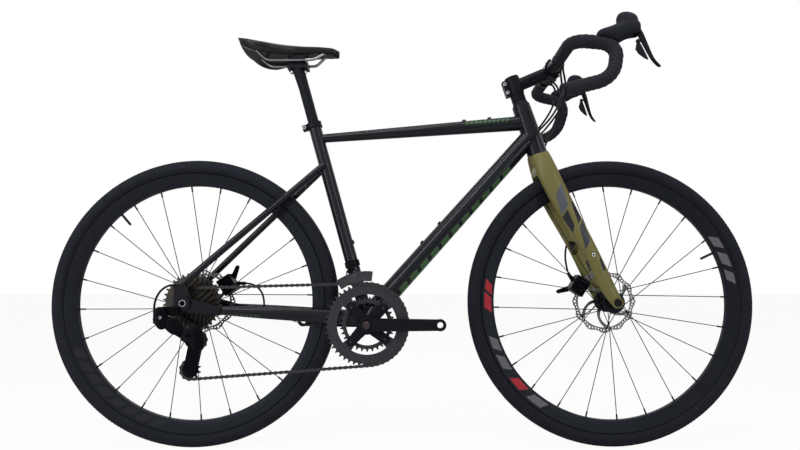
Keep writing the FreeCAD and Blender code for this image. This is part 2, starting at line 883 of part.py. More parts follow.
group("frame_bearings", make_bearings())


# Seatpost and saddle

def make_seatpost():
    """The post with its forged head under the rails."""
    low = on_seat(S.seatpost_bottom)
    high = on_seat(S.seatpost_top)
    shaft = rod(low, high, S.seatpost_radius)
    bore_top = high - seat_up * (2 * S.seatpost_radius)
    bore = rod(low - seat_up * S.overrun, bore_top, S.seatpost_radius - S.seatpost_wall)
    head_low = S.rail_height - S.rail_radius - S.seatpost_head_height
    centre = Vector(high.x - S.seatpost_setback / 2, 0, head_low)
    half_long = S.seatpost_head_length / 2
    half_wide = S.seatpost_head_width / 2
    corners = [centre + Vector(sx * half_long, sy * half_wide, 0)
               for sx, sy in ((-1, -1), (1, -1), (1, 1), (-1, 1))]
    block = slab(corners, UPWARD * S.seatpost_head_height)
    neck = taper(high - seat_up * (2 * S.seatpost_radius), centre, S.seatpost_radius, half_wide)
    solid = united([shaft.cut(bore), neck, block])
    grooves = [rod(Vector(S.rail_rear_x, side * S.rail_spread, S.rail_height),
                   Vector(S.rail_front_x, side * S.rail_spread, S.rail_height), S.rail_radius)
               for side in (-1, 1)]
    return solid.cut(grooves[0]).cut(grooves[1]), centre


def make_rail(side):
    """One saddle rail: straight at the clamp, rising and spreading at both ends."""
    spread = side * S.rail_spread
    points = [
        Vector(S.rail_rear_x - S.rail_end_run, side * S.rail_rear_spread,
               S.rail_height + S.rail_rear_lift),
        Vector(S.rail_rear_x, spread, S.rail_height),
        Vector(S.rail_front_x, spread, S.rail_height),
        Vector(S.rail_front_x + S.rail_end_run, side * S.rail_front_spread,
               S.rail_height + S.rail_front_lift),
    ]
    return pipe(route(points, [S.rail_bend_radius] * 2), S.rail_radius)


def saddle_sizes(along):
    """Station, half width, top and depth of one of the saddle's six cross-sections."""
    station_shares = (0.0, 0.16, 0.38, 0.6, 0.82, 1.0)
    width_shares = (0.74, 1.0, 0.8, 0.5, 0.31, 0.2)
    top_shares = (0.12, 0.08, -0.02, -0.06, -0.08, -0.3)
    deep_shares = (0.45, 0.9, 0.78, 0.7, 0.62, 0.36)
    x = S.saddle_nose_x - S.saddle_length * (1 - station_shares[along])
    half = S.saddle_half_width * width_shares[along]
    top = S.saddle_height + S.saddle_thickness * top_shares[along]
    return x, half, top, S.saddle_thickness * deep_shares[along]


def saddle_section(along):
    """One cross-section of the cover: a crowned top over sides that draw in below."""
    x, half, top, deep = saddle_sizes(along)
    low = top - deep
    shoulder_share, crown_share, waist_share = 0.62, 0.78, 0.3
    shoulder = low + deep * crown_share
    waist = low + deep * waist_share

    def spot(across, height):
        return Vector(x, across, height)

    foot = half * SADDLE_DRAW_SHARE
    edges = [
        Part.LineSegment(spot(-foot, low), spot(foot, low)),
        Part.Arc(spot(foot, low), spot(half, waist), spot(half * shoulder_share, shoulder)),
        Part.Arc(spot(half * shoulder_share, shoulder), spot(0, top),
                 spot(-half * shoulder_share, shoulder)),
        Part.Arc(spot(-half * shoulder_share, shoulder), spot(-half, waist), spot(-foot, low)),
    ]
    return Part.Wire([edge.toShape() for edge in edges])


def saddle_hollow(along, thickness, below):
    """The hollow under one cross-section, drawn in by a thickness."""
    x, half, top, deep = saddle_sizes(along)
    low = top - deep
    roof_share, narrow_share = 0.55, 0.8
    foot = half * (SADDLE_DRAW_SHARE - SADDLE_EDGE_SHARE) - thickness
    roof = low + deep * roof_share - thickness
    corners = [Vector(x, -foot, low - below), Vector(x, foot, low - below),
               Vector(x, foot * narrow_share, roof), Vector(x, -foot * narrow_share, roof)]
    return Part.makePolygon(corners + corners[:1])


def make_saddle():
    """The padded cover, hollow below, and the shell that lines the hollow."""
    stations = range(6)
    hollow = loft([saddle_hollow(index, 0, S.overrun) for index in stations])
    cover = loft([saddle_section(index) for index in stations]).cut(hollow)
    lining = loft([saddle_hollow(index, 0, 0) for index in stations])
    room = loft([saddle_hollow(index, S.saddle_shell_thickness, S.overrun) for index in stations])
    return largest(cover), largest(lining.cut(room).cut(cover))


def make_saddle_clamp(centre):
    """The cradle plate over the rails, held down by a bolt at each end."""
    half_long = S.saddle_clamp_length / 2
    half_wide = S.rail_spread + S.rail_radius + S.saddle_clamp_lip
    base = S.rail_height
    corners = [Vector(centre.x + sx * half_long, sy * half_wide, base)
               for sx, sy in ((-1, -1), (1, -1), (1, 1), (-1, 1))]
    plate = slab(corners, UPWARD * (S.rail_radius + S.saddle_clamp_plate))
    solids = []
    for end in (-1, 1):
        x = centre.x + end * (half_long - S.clamp_bolt_head_radius)
        top = Vector(x, 0, base + S.rail_radius + S.saddle_clamp_plate)
        low = Vector(x, 0, centre.z - S.clamp_bolt_head_height)
        shank = rod(low, top, S.clamp_bolt_radius)
        head = rod(low - UPWARD * S.clamp_bolt_head_height, low, S.clamp_bolt_head_radius)
        solids.append(united([shank, head]))
    return plate, solids


post_shape, post_head = make_seatpost()
rails = [make_rail(side) for side in (-1, 1)]
clamp_plate, clamp_bolts = make_saddle_clamp(post_head)
for rail in rails:
    post_shape = post_shape.cut(rail)
    clamp_plate = clamp_plate.cut(rail)
clamp_plate = clamp_plate.cut(post_shape)
for bolt in clamp_bolts:
    post_shape = post_shape.cut(bolt)
    clamp_plate = clamp_plate.cut(bolt)
saddle_cover, saddle_shell = make_saddle()
for rail in rails:
    saddle_shell = saddle_shell.cut(rail)
    saddle_cover = saddle_cover.cut(rail)
piece("seatpost", largest(post_shape))
group("saddle_clamp", clamp_plate.Solids + clamp_bolts)
group("saddle_rails", rails)
piece("saddle_shell", largest(saddle_shell))
piece("saddle_cover", largest(saddle_cover))


# Fork with its steerer tube

stem_low = head_high + S.headset_cover_height + S.spacer_height + S.part_gap
stem_high = stem_low + S.stem_clamp_height
CROWN_TOP_SHARE = 0.72


def blade_spots(side):
    """The centre line and section sizes of a fork blade, from crown to dropout."""
    crown = aside(on_head(S.fork_shoulder_reach), side * S.fork_crown_spread)
    end_spread = S.fork_dropout_spacing / 2 + S.fork_dropout_thickness / 2
    end = aside(front_hub, side * end_spread)
    run = end - crown
    top = crown + head_up * (S.fork_length - S.fork_shoulder_reach - S.fork_crown_height)
    top.y = side * S.fork_crown_spread * CROWN_TOP_SHARE
    shoulder_share, middle_share, low_share, bow_share = 0.1, 0.32, 0.7, 0.16
    outward = SIDEWAYS * (side * (end_spread - S.fork_crown_spread) * bow_share)
    middle_depth, middle_width = S.fork_blade_middle_depth, S.fork_blade_middle_width
    low_depth = (middle_depth + S.fork_blade_end_depth) / 2
    low_width = (middle_width + S.fork_blade_end_width) / 2
    return [
        (top, S.fork_blade_top_depth, S.fork_blade_top_width),
        (crown + run * shoulder_share, S.fork_blade_top_depth, S.fork_blade_top_width),
        (crown + run * middle_share + outward, middle_depth, middle_width),
        (crown + run * low_share + outward, low_depth, low_width),
        (end, S.fork_blade_end_depth, S.fork_blade_end_width),
    ], run


def make_blade(side):
    """A blade that flows out of the ring under the head tube."""
    spots, run = blade_spots(side)
    normal = Vector(run.x, 0, run.z)
    start_share = 0.3
    radius = S.head_tube_lower_radius
    start = aside(on_head(head_low - S.part_gap), side * radius * start_share)
    wires = [oval(start, -head_up, FORWARD, radius, radius * (1 - start_share))]
    wires += [oval(centre, normal, FORWARD, deep / 2, wide / 2) for centre, deep, wide in spots]
    return loft(wires)


def make_blade_hollow(side):
    """The space inside a blade, closed above the dropout."""
    spots, run = blade_spots(side)
    normal = Vector(run.x, 0, run.z)
    (low, low_deep, low_wide), (end, end_deep, end_wide) = spots[-2:]
    stop_share = 0.55
    spots[-1] = (low + (end - low) * stop_share, (low_deep + end_deep) / 2, (low_wide + end_wide) / 2)
    return loft([oval(centre, normal, FORWARD, deep / 2 - S.fork_wall, wide / 2 - S.fork_wall)
                 for centre, deep, wide in spots])


def fork_boss_spot():
    """The threaded boss on the outside of the right blade."""
    spots, run = blade_spots(-1)
    (middle, middle_deep, middle_wide), (low, low_deep, low_wide) = spots[2:4]
    boss_share = 0.79
    wide = middle_wide + (low_wide - middle_wide) * boss_share
    return middle + (low - middle) * boss_share, wide / 2


def make_fork():
    blades = [make_blade(side) for side in (-1, 1)]
    crown_low = on_head(head_low - S.fork_crown_height)
    cross_low = on_head(head_low - S.fork_crown_height - S.fork_blade_top_depth / 4)
    spread = S.fork_crown_spread * CROWN_TOP_SHARE
    bridge = rod(aside(cross_low, -spread), aside(cross_low, spread), S.fork_blade_top_depth / 2)
    steerer = rod(crown_low, on_head(stem_high - S.part_gap), S.steerer_radius)
    eyes = []
    for side in (-1, 1):
        inner = side * S.fork_dropout_spacing / 2
        outer = inner + side * S.fork_dropout_thickness
        eyes.append(rod(aside(front_hub, inner), aside(front_hub, outer), S.fork_dropout_radius))
    solid = united(blades + [bridge, steerer] + eyes)
    tyre_room = S.tyre_radius + S.fork_tyre_room
    room_half = S.tyre_width / 2 + S.fork_tyre_room
    arch = rod(aside(front_hub, -room_half), aside(front_hub, room_half), tyre_room)
    hub_half = S.fork_dropout_spacing / 2
    hub_room = rod(aside(front_hub, -hub_half), aside(front_hub, hub_half),
                   S.fork_dropout_radius + S.fork_tyre_room)
    rotor_face = S.front_rotor_offset + S.rotor_thickness / 2 + S.fork_rotor_room
    rotor_room = rod(front_hub, aside(front_hub, rotor_face), S.rotor_radius + S.fork_tyre_room)
    axle_reach = hub_half + S.fork_dropout_thickness + S.overrun
    bore = rod(aside(front_hub, -axle_reach), aside(front_hub, axle_reach),
               S.axle_radius + S.running_gap)
    vent = on_head(S.fork_vent_height)
    steerer_bore = rod(vent, on_head(stem_high + S.overrun), S.steerer_radius - S.steerer_wall)
    vent_bore = rod(aside(vent, -spread), aside(vent, spread), S.fork_vent_radius)
    hollows = [make_blade_hollow(side) for side in (-1, 1)]
    low, half_wide = fork_boss_spot()
    mouth = aside(low, -half_wide - S.overrun)
    thread = rod(mouth, aside(low, -half_wide + S.boss_thread_depth), S.boss_thread_radius)
    outer_face = hub_half + S.fork_dropout_thickness
    spot_faces = [rod(aside(front_hub, side * outer_face),
                      aside(front_hub, side * (outer_face + 2 * S.fork_dropout_thickness)),
                      S.fork_dropout_radius) for side in (-1, 1)]
    for tool in [arch, hub_room, rotor_room, bore, steerer_bore, vent_bore, thread] + hollows + spot_faces:
        solid = solid.cut(tool)
    return largest(solid)


fork_shape = make_fork()
piece("fork", fork_shape)


# Headset cover, spacers and top cap

def make_spacers():
    base = head_high + S.part_gap
    cover = taper(on_head(base), on_head(base + S.headset_cover_height), S.headset_cover_radius,
                  S.spacer_radius)
    clear = S.steerer_radius
    over = head_up * S.overrun
    bore = rod(on_head(base) - over, on_head(stem_low) + over, clear)
    middle = base + S.headset_cover_height
    halfway = (middle + stem_low) / 2
    spacers = [ring(on_head(middle), on_head(halfway), S.spacer_radius, clear),
               ring(on_head(halfway), on_head(stem_low), S.spacer_radius, clear)]
    cap = rod(on_head(stem_high), on_head(stem_high + S.top_cap_height), S.spacer_radius)
    sink = stem_high + S.top_cap_height - S.stem_bolt_head_height / 2
    bolt = rod(on_head(sink), on_head(stem_high + S.top_cap_height), S.stem_bolt_head_radius)
    return [cover.cut(bore)] + spacers + [cap.cut(bolt), bolt]


group("headset_spacers", make_spacers())


# Stem, faceplate and bolts

stem_root = on_head((stem_low + stem_high) / 2)
stem_slope = math.radians(90 - S.head_angle + S.stem_rise)
stem_out = Vector(math.cos(stem_slope), 0, math.sin(stem_slope))
stem_up = Vector(-math.sin(stem_slope), 0, math.cos(stem_slope))
bar_centre = stem_root + stem_out * S.stem_length
clamp_outer = S.bar_clamp_radius + S.bar_clamp_wall
clamp_half = S.bar_clamp_width / 2


def clamp_half_space(forward):
    """The block in front of, or behind, the split of the bar clamp."""
    side = 1 if forward else -1
    near = bar_centre + stem_out * (side * S.faceplate_gap / 2)
    far = bar_centre + stem_out * (side * 2 * clamp_outer)
    rise = stem_up * (2 * clamp_outer)
    corners = [near + rise, far + rise, far - rise, near - rise]
    return slab([aside(corner, -2 * clamp_half) for corner in corners],
                SIDEWAYS * (4 * clamp_half))


def faceplate_bolts():
    """Four bolts through the faceplate, two above and two below the bar."""
    bolts = []
    for rise in (-1, 1):
        for side in (-1, 1):
            spot = aside(bar_centre + stem_up * (rise * (S.bar_clamp_radius + S.stem_bolt_head_radius)),
                         side * S.faceplate_bolt_spread)
            front = spot + stem_out * (S.stem_bolt_head_radius + S.faceplate_gap)
            rear = spot - stem_out * (2 * S.stem_bolt_head_radius)
            head = rod(front, front + stem_out * S.stem_bolt_head_height, S.stem_bolt_head_radius)
            bolts.append(united([rod(rear, front, S.stem_bolt_radius), head]))
    return bolts


def pinch_bolts():
    """Two bolts that close the stem on the steerer tube, behind it."""
    bolts = []
    rise_share = 0.28
    for rise in (-1, 1):
        spot = stem_root + head_up * (rise * S.stem_clamp_height * rise_share)
        spot = spot - head_out * (S.stem_clamp_radius + S.stem_bolt_head_radius)
        half = S.stem_clamp_radius / 2
        shank = rod(aside(spot, -half), aside(spot, half), S.stem_bolt_radius)
        head = rod(aside(spot, -half - S.stem_bolt_head_height), aside(spot, -half),
                   S.stem_bolt_head_radius)
        bolts.append(united([shank, head]))
    return bolts


def make_stem():
    collar = rod(on_head(stem_low), on_head(stem_high), S.stem_clamp_radius)
    neck = rod(stem_root, bar_centre, S.stem_body_radius)
    clamp = rod(aside(bar_centre, -clamp_half), aside(bar_centre, clamp_half), clamp_outer)
    ears = []
    for rise in (-1, 1):
        spot = bar_centre + stem_up * (rise * (S.bar_clamp_radius + S.stem_bolt_head_radius))
        ears.append(rod(aside(spot, -clamp_half), aside(spot, clamp_half),
                        S.stem_bolt_head_radius + S.faceplate_gap))
    lug_rise = head_up * (S.stem_clamp_height / 2)
    lug_back = head_out * (S.stem_clamp_radius + 2 * S.stem_bolt_head_radius)
    corners = [stem_root + lug_rise, stem_root - lug_back + lug_rise,
               stem_root - lug_back - lug_rise, stem_root - lug_rise]
    lug = slab([aside(corner, -S.stem_clamp_radius / 2) for corner in corners],
               SIDEWAYS * S.stem_clamp_radius)
    solid = united([collar, neck, clamp, lug] + ears)
    over = head_up * S.overrun
    solid = solid.cut(rod(on_head(stem_low) - over, on_head(stem_high) + over, S.steerer_radius))
    solid = solid.cut(rod(aside(bar_centre, -2 * clamp_half), aside(bar_centre, 2 * clamp_half),
                          S.bar_clamp_radius))
    plate = united([clamp] + ears).cut(rod(aside(bar_centre, -2 * clamp_half),
                                           aside(bar_centre, 2 * clamp_half), S.bar_clamp_radius))
    solid = solid.cut(clamp_half_space(True))
    gap = slab([aside(corner, -2 * clamp_half) for corner in (
        bar_centre + stem_out * (S.faceplate_gap / 2) + stem_up * (2 * clamp_outer),
        bar_centre - stem_out * (S.faceplate_gap / 2) + stem_up * (2 * clamp_outer),
        bar_centre - stem_out * (S.faceplate_gap / 2) - stem_up * (2 * clamp_outer),
        bar_centre + stem_out * (S.faceplate_gap / 2) - stem_up * (2 * clamp_outer))],
        SIDEWAYS * (4 * clamp_half))
    solid = solid.cut(gap)
    plate = plate.common(clamp_half_space(True))
    bolts = faceplate_bolts()
    pinches = pinch_bolts()
    for bolt in bolts:
        plate = plate.cut(bolt)
        solid = solid.cut(bolt)
    for bolt in pinches:
        solid = solid.cut(bolt)
    return largest(solid), largest(plate), bolts + pinches


stem_shape, faceplate_shape, stem_bolts = make_stem()
piece("stem", stem_shape)
group("stem_faceplate", [faceplate_shape] + stem_bolts)


# Handlebar, tape and end plugs

def bar_points(start):
    """The right half of the bar: top, ramp, hook and drop."""
    return [
        aside(bar_centre, -start),
        aside(bar_centre, -S.bar_half_width),
        bar_centre + Vector(S.bar_hook_reach, -S.bar_hook_half_width, -S.bar_hook_drop),
        bar_centre + Vector(S.bar_drop_reach, -S.bar_drop_half_width, -S.bar_drop_depth),
        bar_centre + Vector(-S.bar_end_back, -S.bar_end_half_width, -S.bar_end_depth),
    ]


def bar_path(start):
    return route(bar_points(start), [S.bar_shoulder_radius, S.bar_hook_radius, S.bar_drop_radius])


def make_handlebar():
    halves = pipe(bar_path(0), S.bar_radius)
    bulge = rod(aside(bar_centre, -S.bar_bulge_half_width), aside(bar_centre, S.bar_bulge_half_width),
                S.bar_clamp_radius)
    cones = [taper(aside(bar_centre, side * S.bar_bulge_half_width),
                   aside(bar_centre, side * (S.bar_bulge_half_width + S.bar_taper_length)),
                   S.bar_clamp_radius, S.bar_radius) for side in (-1, 1)]
    bore = pipe(bar_path(0), S.bar_radius - S.bar_wall)
    solid = united([halves, mirrored(halves), bulge] + cones)
    return largest(solid.cut(bore).cut(mirrored(bore)))


def make_tape():
    path = bar_path(S.tape_start)
    sleeve = pipe(path, S.bar_radius + S.tape_thickness)
    return largest(sleeve.cut(pipe(bar_path(0), S.bar_radius))), sleeve


def make_plug():
    points = bar_points(0)
    heading = (points[-1] - points[-2]).normalize()
    end = points[-1]
    stop = rod(end, end + heading * S.plug_cap, S.bar_radius + S.tape_thickness)
    stub = rod(end - heading * S.plug_length, end, S.bar_radius - S.bar_wall)
    return united([stop, stub])


piece("handlebar", make_handlebar())
tape, tape_outer = make_tape()
plug = make_plug()
group("bar_tape", [tape, mirrored(tape), plug, mirrored(plug)])


# Lever hoods, brake levers and shift paddles: the right side, then its mirror

def lever_spot(reach, rise):
    """A point of the lever's own plane, which leans out towards its tip."""
    spread = S.bar_hook_half_width - S.lever_flare_share * (rise + S.bar_hook_drop)
    return bar_centre + Vector(reach, -spread, rise)


lever_lean = math.atan(S.lever_flare_share)
lever_axis = Vector(0, math.cos(lever_lean), -math.sin(lever_lean))
lever_down = Vector(0, -math.sin(lever_lean), -math.cos(lever_lean))
lever_pivot = lever_spot(S.lever_pivot_reach, S.lever_pivot_rise)


def make_hood():
    """The lever body in its hood: a sleeve on the bar, an upright horn and a slot for the lever."""
    sleeve_reach_shares = (0.0, 0.28, 0.47, 0.7, 0.91, 1.0)
    sleeve_centre_shares = (0.0, 0.1, 0.16, 0.33, 0.34, 0.34)
    sleeve_height_shares = (0.19, 0.3, 0.37, 0.35, 0.31, 0.25)
    sleeve_width_shares = (0.7, 1.06, 1.06, 1.0, 0.93, 0.82)
    horn_rise_shares = (0.16, 0.5, 0.7, 0.87, 0.97, 1.0)
    horn_reach_shares = (0.72, 0.72, 0.735, 0.73, 0.71, 0.7)
    horn_length_shares = (0.22, 0.235, 0.26, 0.22, 0.13, 0.05)
    horn_width_shares = (0.9, 0.86, 0.88, 0.72, 0.45, 0.18)
    span = S.hood_reach - S.hood_start
    sleeve = loft([oval(lever_spot(S.hood_start + span * along, S.hood_height * up), FORWARD, UPWARD,
                        S.hood_height * tall, S.hood_half_width * wide)
                   for along, up, tall, wide in zip(sleeve_reach_shares, sleeve_centre_shares,
                                                    sleeve_height_shares, sleeve_width_shares)])
    horn = loft([oval(lever_spot(S.hood_start + span * along, S.hood_height * up), UPWARD, FORWARD,
                      span * long, S.hood_half_width * wide)
                 for up, along, long, wide in zip(horn_rise_shares, horn_reach_shares, horn_length_shares,
                                                  horn_width_shares)])
    half = S.lever_half_width + 2 * S.part_gap
    slot_back = S.hood_reach - S.hood_slot_depth
    slot_top = S.lever_pivot_rise + S.lever_eye_radius + 2 * S.part_gap
    slot_front = S.hood_reach + S.hood_slot_depth
    corners = [lever_spot(slot_back, slot_top), lever_spot(slot_front, slot_top),
               lever_spot(slot_front, -S.hood_height), lever_spot(slot_back, -S.hood_height)]
    slot = slab([corner - lever_axis * half for corner in corners], lever_axis * (2 * half))
    body = united([sleeve, horn]).cut(tape_outer).cut(slot)
    pin_end = lever_axis * S.lever_pin_half_length
    pin = rod(lever_pivot - pin_end, lever_pivot + pin_end, S.lever_pin_radius)
    return united([largest(body), pin])


def make_lever():
    """The brake lever blade, hung on its pin and curling forward at the tip."""
    drop_shares = (-0.04, 0.1, 0.23, 0.42, 0.64, 0.8, 0.93, 1.0)
    forward_shares = (0.0, 0.05, 0.098, 0.163, 0.24, 0.304, 0.39, 0.45)
    depth_shares = (0.8, 1.0, 1.0, 0.85, 0.68, 0.6, 0.6, 0.5)
    width_shares = (1.0, 1.0, 0.97, 0.9, 0.83, 0.74, 0.72, 0.6)
    wires = []
    for drop, ahead, deep, wide in zip(drop_shares, forward_shares, depth_shares, width_shares):
        centre = lever_pivot + lever_down * (S.lever_length * drop) + FORWARD * (S.lever_length * ahead)
        wires.append(oval(centre, lever_down, FORWARD, S.lever_half_depth * deep,
                          S.lever_half_width * wide))
    blade = loft(wires)
    eye = rod(lever_pivot - lever_axis * S.lever_half_width, lever_pivot + lever_axis * S.lever_half_width,
              S.lever_eye_radius)
    hole = rod(lever_pivot - lever_axis * (2 * S.lever_half_width),
               lever_pivot + lever_axis * (2 * S.lever_half_width), S.lever_pin_radius + S.running_gap)
    pin = rod(paddle_pivot - FORWARD * S.paddle_eye_radius, paddle_pivot + FORWARD * (2 * S.lever_half_depth),
              S.lever_pin_radius)
    return united([blade.cut(hole), eye.cut(hole), pin])


paddle_pivot = lever_pivot + lever_down * S.paddle_drop + FORWARD * S.paddle_forward


def make_paddle():
    """The shift paddle behind the brake lever, on a pin that runs fore and aft."""
    half = S.paddle_eye_radius / 2 + S.part_gap
    near = paddle_pivot + FORWARD * half
    far = paddle_pivot - FORWARD * half
    eye = rod(near, far, S.paddle_eye_radius)
    down_shares = (0.0, 0.18, 0.43, 0.68, 0.91, 1.0, 0.73, 0.39, 0.09, -0.045)
    back_shares = (0.135, 0.243, 0.378, 0.054, -0.568, -1.0, -0.784, -0.486, -0.19, -0.108)
    corners = [paddle_pivot + lever_down * (S.paddle_length * down) - FORWARD * (S.paddle_width * back)
               - lever_axis * (S.paddle_thickness / 2)
               for down, back in zip(down_shares, back_shares)]
    plate = slab(corners, lever_axis * S.paddle_thickness)
    over = FORWARD * S.overrun
    hole = rod(near + over * 2, far - over * 2, S.lever_pin_radius + S.running_gap)
    return largest(united([eye, plate]).cut(hole))


hood = make_hood()
lever = make_lever()
paddle = make_paddle()
group("lever_hoods", [hood, mirrored(hood)])
piece("right_brake_lever", lever)
piece("left_brake_lever", mirrored(lever))
piece("right_shift_paddle", paddle)
piece("left_shift_paddle", mirrored(paddle))


# Wheels

def wheel_place(hub):
    return Placement(hub, Rotation())


def make_tyre(name, hub):
    """A hollow tyre, open where it sits on the rim."""
    place = Placement(hub, TURN_TO_AXLE)
    centre = "Sizes.tyre_radius - Sizes.tyre_width / 2"
    outer = bound("Part::Torus", name + "_tyre_outside", place, Radius1=centre,
                  Radius2="Sizes.tyre_width / 2")
    inner = bound("Part::Torus", name + "_tyre_inside", place, Radius1=centre,
                  Radius2="Sizes.tyre_width / 2 - Sizes.tyre_wall")
    half = S.tyre_width / 2 + S.overrun
    seat = bound("Part::Cylinder", name + "_tyre_seat", Placement(aside(hub, -half), TURN_TO_AXLE),
                 Radius="Sizes.rim_outer_radius", Height="Sizes.tyre_width + 2 * Sizes.overrun")
    hollow = cut_object(name + "_tyre_hollow", outer, inner)
    keep(name + "_tyre", cut_object(name + "_tyre_cut", hollow, seat))


def make_inner_tube(name, hub, valve_angle):
    """The air tube with its valve through the rim."""
    centre = S.tyre_radius - S.tyre_width / 2
    outer = S.tyre_width / 2 - S.tyre_wall - S.inner_tube_gap
    skin = Part.makeTorus(centre, outer, hub, SIDEWAYS)
    hollow = Part.makeTorus(centre, outer - S.inner_tube_wall, hub, SIDEWAYS)
    foot = around(hub, valve_angle, centre - outer + S.inner_tube_wall)
    tip = around(hub, valve_angle, S.rim_inner_radius - S.valve_length)
    mouth = around(hub, valve_angle, centre)
    stem = rod(foot, tip, S.valve_radius)
    bore = rod(mouth, tip - (foot - tip).normalize() * S.overrun, S.valve_bore_radius)
    piece(name + "_inner_tube", skin.fuse(stem).cut(hollow).cut(bore))


def make_rim(name, hub, valve_angle):
    """A deep hollow rim with a tyre well and a hole for the valve."""
    wide, spine = "Sizes.rim_width / 2", "Sizes.rim_spine_width / 2"
    shoulder, well = "Sizes.rim_shoulder_width / 2", "Sizes.rim_well_width / 2"
    top, low = "Sizes.rim_outer_radius", "Sizes.rim_inner_radius"
    step = "Sizes.rim_inner_radius + Sizes.rim_shoulder_height"
    floor = "Sizes.rim_outer_radius - Sizes.rim_well_depth"
    roof = floor + " - Sizes.rim_wall"
    outside = [(low, f"-({spine})"), (low, spine), (step, shoulder), (top, wide), (top, well),
               (floor, well), (floor, f"-({well})"), (top, f"-({well})"), (top, f"-({wide})"),
               (step, f"-({shoulder})")]
    narrow, broad = f"{spine} - Sizes.rim_wall / 2", f"{well} - Sizes.rim_wall / 2"
    chamber = [(step, f"-({narrow})"), (step, narrow), (roof, broad), (roof, f"-({broad})")]
    body = turned_body(name + "_rim_body", [outside, chamber], wheel_place(hub))
    tip = around(hub, valve_angle, S.rim_inner_radius - S.overrun)
    heading = (tip - hub).normalize()
    hole = bound("Part::Cylinder", name + "_valve_hole", Placement(tip, Rotation(UPWARD, heading)),
                 Radius="Sizes.valve_radius + Sizes.valve_hole_gap",
                 Height="Sizes.rim_outer_radius - Sizes.rim_inner_radius + 2 * Sizes.overrun")
    keep(name + "_rim", cut_object(name + "_rim_cut", body, hole))


def make_spokes(name, hub, flange_right, flange_left, valve_angle):
    """Crossed spokes with nipples, alternately to the two flanges."""
    step = 360.0 / SPOKE_COUNT
    solids = []
    for index in range(SPOKE_COUNT):
        angle = valve_angle + step * index + step / 2
        left = index % 2
        lead = 1 if (index // 2) % 2 else -1
        flange = flange_left if left else -flange_right
        face = S.hub_flange_thickness / 2 + S.spoke_radius + S.spoke_stand_off
        start = aside(around(hub, angle + lead * SPOKE_LACING_ANGLE, S.hub_spoke_circle_radius),
                      flange + lead * face)
        rim_side = S.rim_spine_width / 4 * (1 if left else -1)
        end = aside(around(hub, angle, S.rim_inner_radius - S.part_gap), rim_side)
        back = (start - end).normalize()
        nipple = rod(end, end + back * S.nipple_length, S.nipple_radius)
        solids.append(rod(start, end, S.spoke_radius).fuse(nipple).removeSplitter())
    group(name + "_spokes", solids)


def hub_outline(right_end, right_flange, left_flange, rotor, left_end):
    """A hub's half section: caps, two flanges, core and the seat of the rotor."""
    half = "Sizes.hub_flange_thickness / 2"
    bore, cap, core = "Sizes.hub_bore_radius", "Sizes.hub_cap_radius", "Sizes.hub_core_radius"
    flange = "Sizes.hub_flange_radius"
    rotor_near = f"{rotor} - Sizes.rotor_thickness / 2"
    carrier = f"{rotor} - Sizes.rotor_thickness / 2 - Sizes.rotor_carrier_width"
    spigot = f"{rotor} + Sizes.rotor_thickness / 2 + Sizes.rotor_spigot_reach"
    return [
        (bore, f"-({right_end})"), (cap, f"-({right_end})"),
        (cap, f"-({right_flange} + {half})"), (flange, f"-({right_flange} + {half})"),
        (flange, f"-({right_flange} - {half})"), (core, f"-({right_flange} - {half})"),
        (core, f"{left_flange} - {half}"), (flange, f"{left_flange} - {half}"),
        (flange, f"{left_flange} + {half}"), (core, f"{left_flange} + {half}"),
        (core, carrier), ("Sizes.rotor_carrier_radius", carrier),
        ("Sizes.rotor_carrier_radius", rotor_near), ("Sizes.rotor_spigot_radius", rotor_near),
        ("Sizes.rotor_spigot_radius", spigot), (cap, spigot), (cap, left_end), (bore, left_end),
    ]


def make_hub(name, hub, outline, right_end, left_end):
    """The hub shell and the bearing pressed into each end."""
    shell = turned_body(name + "_hub_shell", [outline], wheel_place(hub))
    parts = [shell]
    for label, start in (("right", -right_end), ("left", left_end - S.hub_bearing_width)):
        place = Placement(aside(hub, start), TURN_TO_AXLE)
        over = Placement(aside(hub, start - S.overrun), TURN_TO_AXLE)
        outer = bound("Part::Cylinder", f"{name}_{label}_bearing_ring", place,
                      Radius="Sizes.hub_bore_radius", Height="Sizes.hub_bearing_width")
        inner = bound("Part::Cylinder", f"{name}_{label}_bearing_bore", over,
                      Radius="Sizes.axle_radius + Sizes.running_gap",
                      Height="Sizes.hub_bearing_width + 2 * Sizes.overrun")
        parts.append(cut_object(f"{name}_{label}_bearing", outer, inner))
    whole = doc.addObject("Part::Compound", name + "_hub_parts")
    whole.Links = parts
    keep(name + "_hub", whole)


def make_rotor(name, hub, offset):
    """The brake rotor: a band on slanted arms round a core."""
    half = S.rotor_thickness / 2
    near, far = aside(hub, offset - half), aside(hub, offset + half)
    band_inner = S.rotor_radius - S.rotor_band
    band = ring(near, far, S.rotor_radius, band_inner)
    core = ring(near, far, S.rotor_core_radius, S.rotor_spigot_radius)
    arms = []
    middle_share = 0.5
    for index in range(ROTOR_ARM_COUNT):
        angle = 360.0 / ROTOR_ARM_COUNT * index
        start = around(hub, angle, (S.rotor_spigot_radius + S.rotor_core_radius) * middle_share)
        end = around(hub, angle + ROTOR_ARM_SLANT, S.rotor_radius - S.rotor_band * middle_share)
        along = (end - start).normalize()
        across = along.cross(SIDEWAYS) * (S.rotor_arm_width / 2)
        corners = [start + across, end + across, end - across, start - across]
        arms.append(slab([aside(corner, offset - half) for corner in corners],
                         SIDEWAYS * S.rotor_thickness))
    solid = united([band, core] + arms)
    over = SIDEWAYS * S.overrun
    piece(name + "_rotor", largest(solid.cut(rod(near - over, far + over, S.rotor_spigot_radius))))


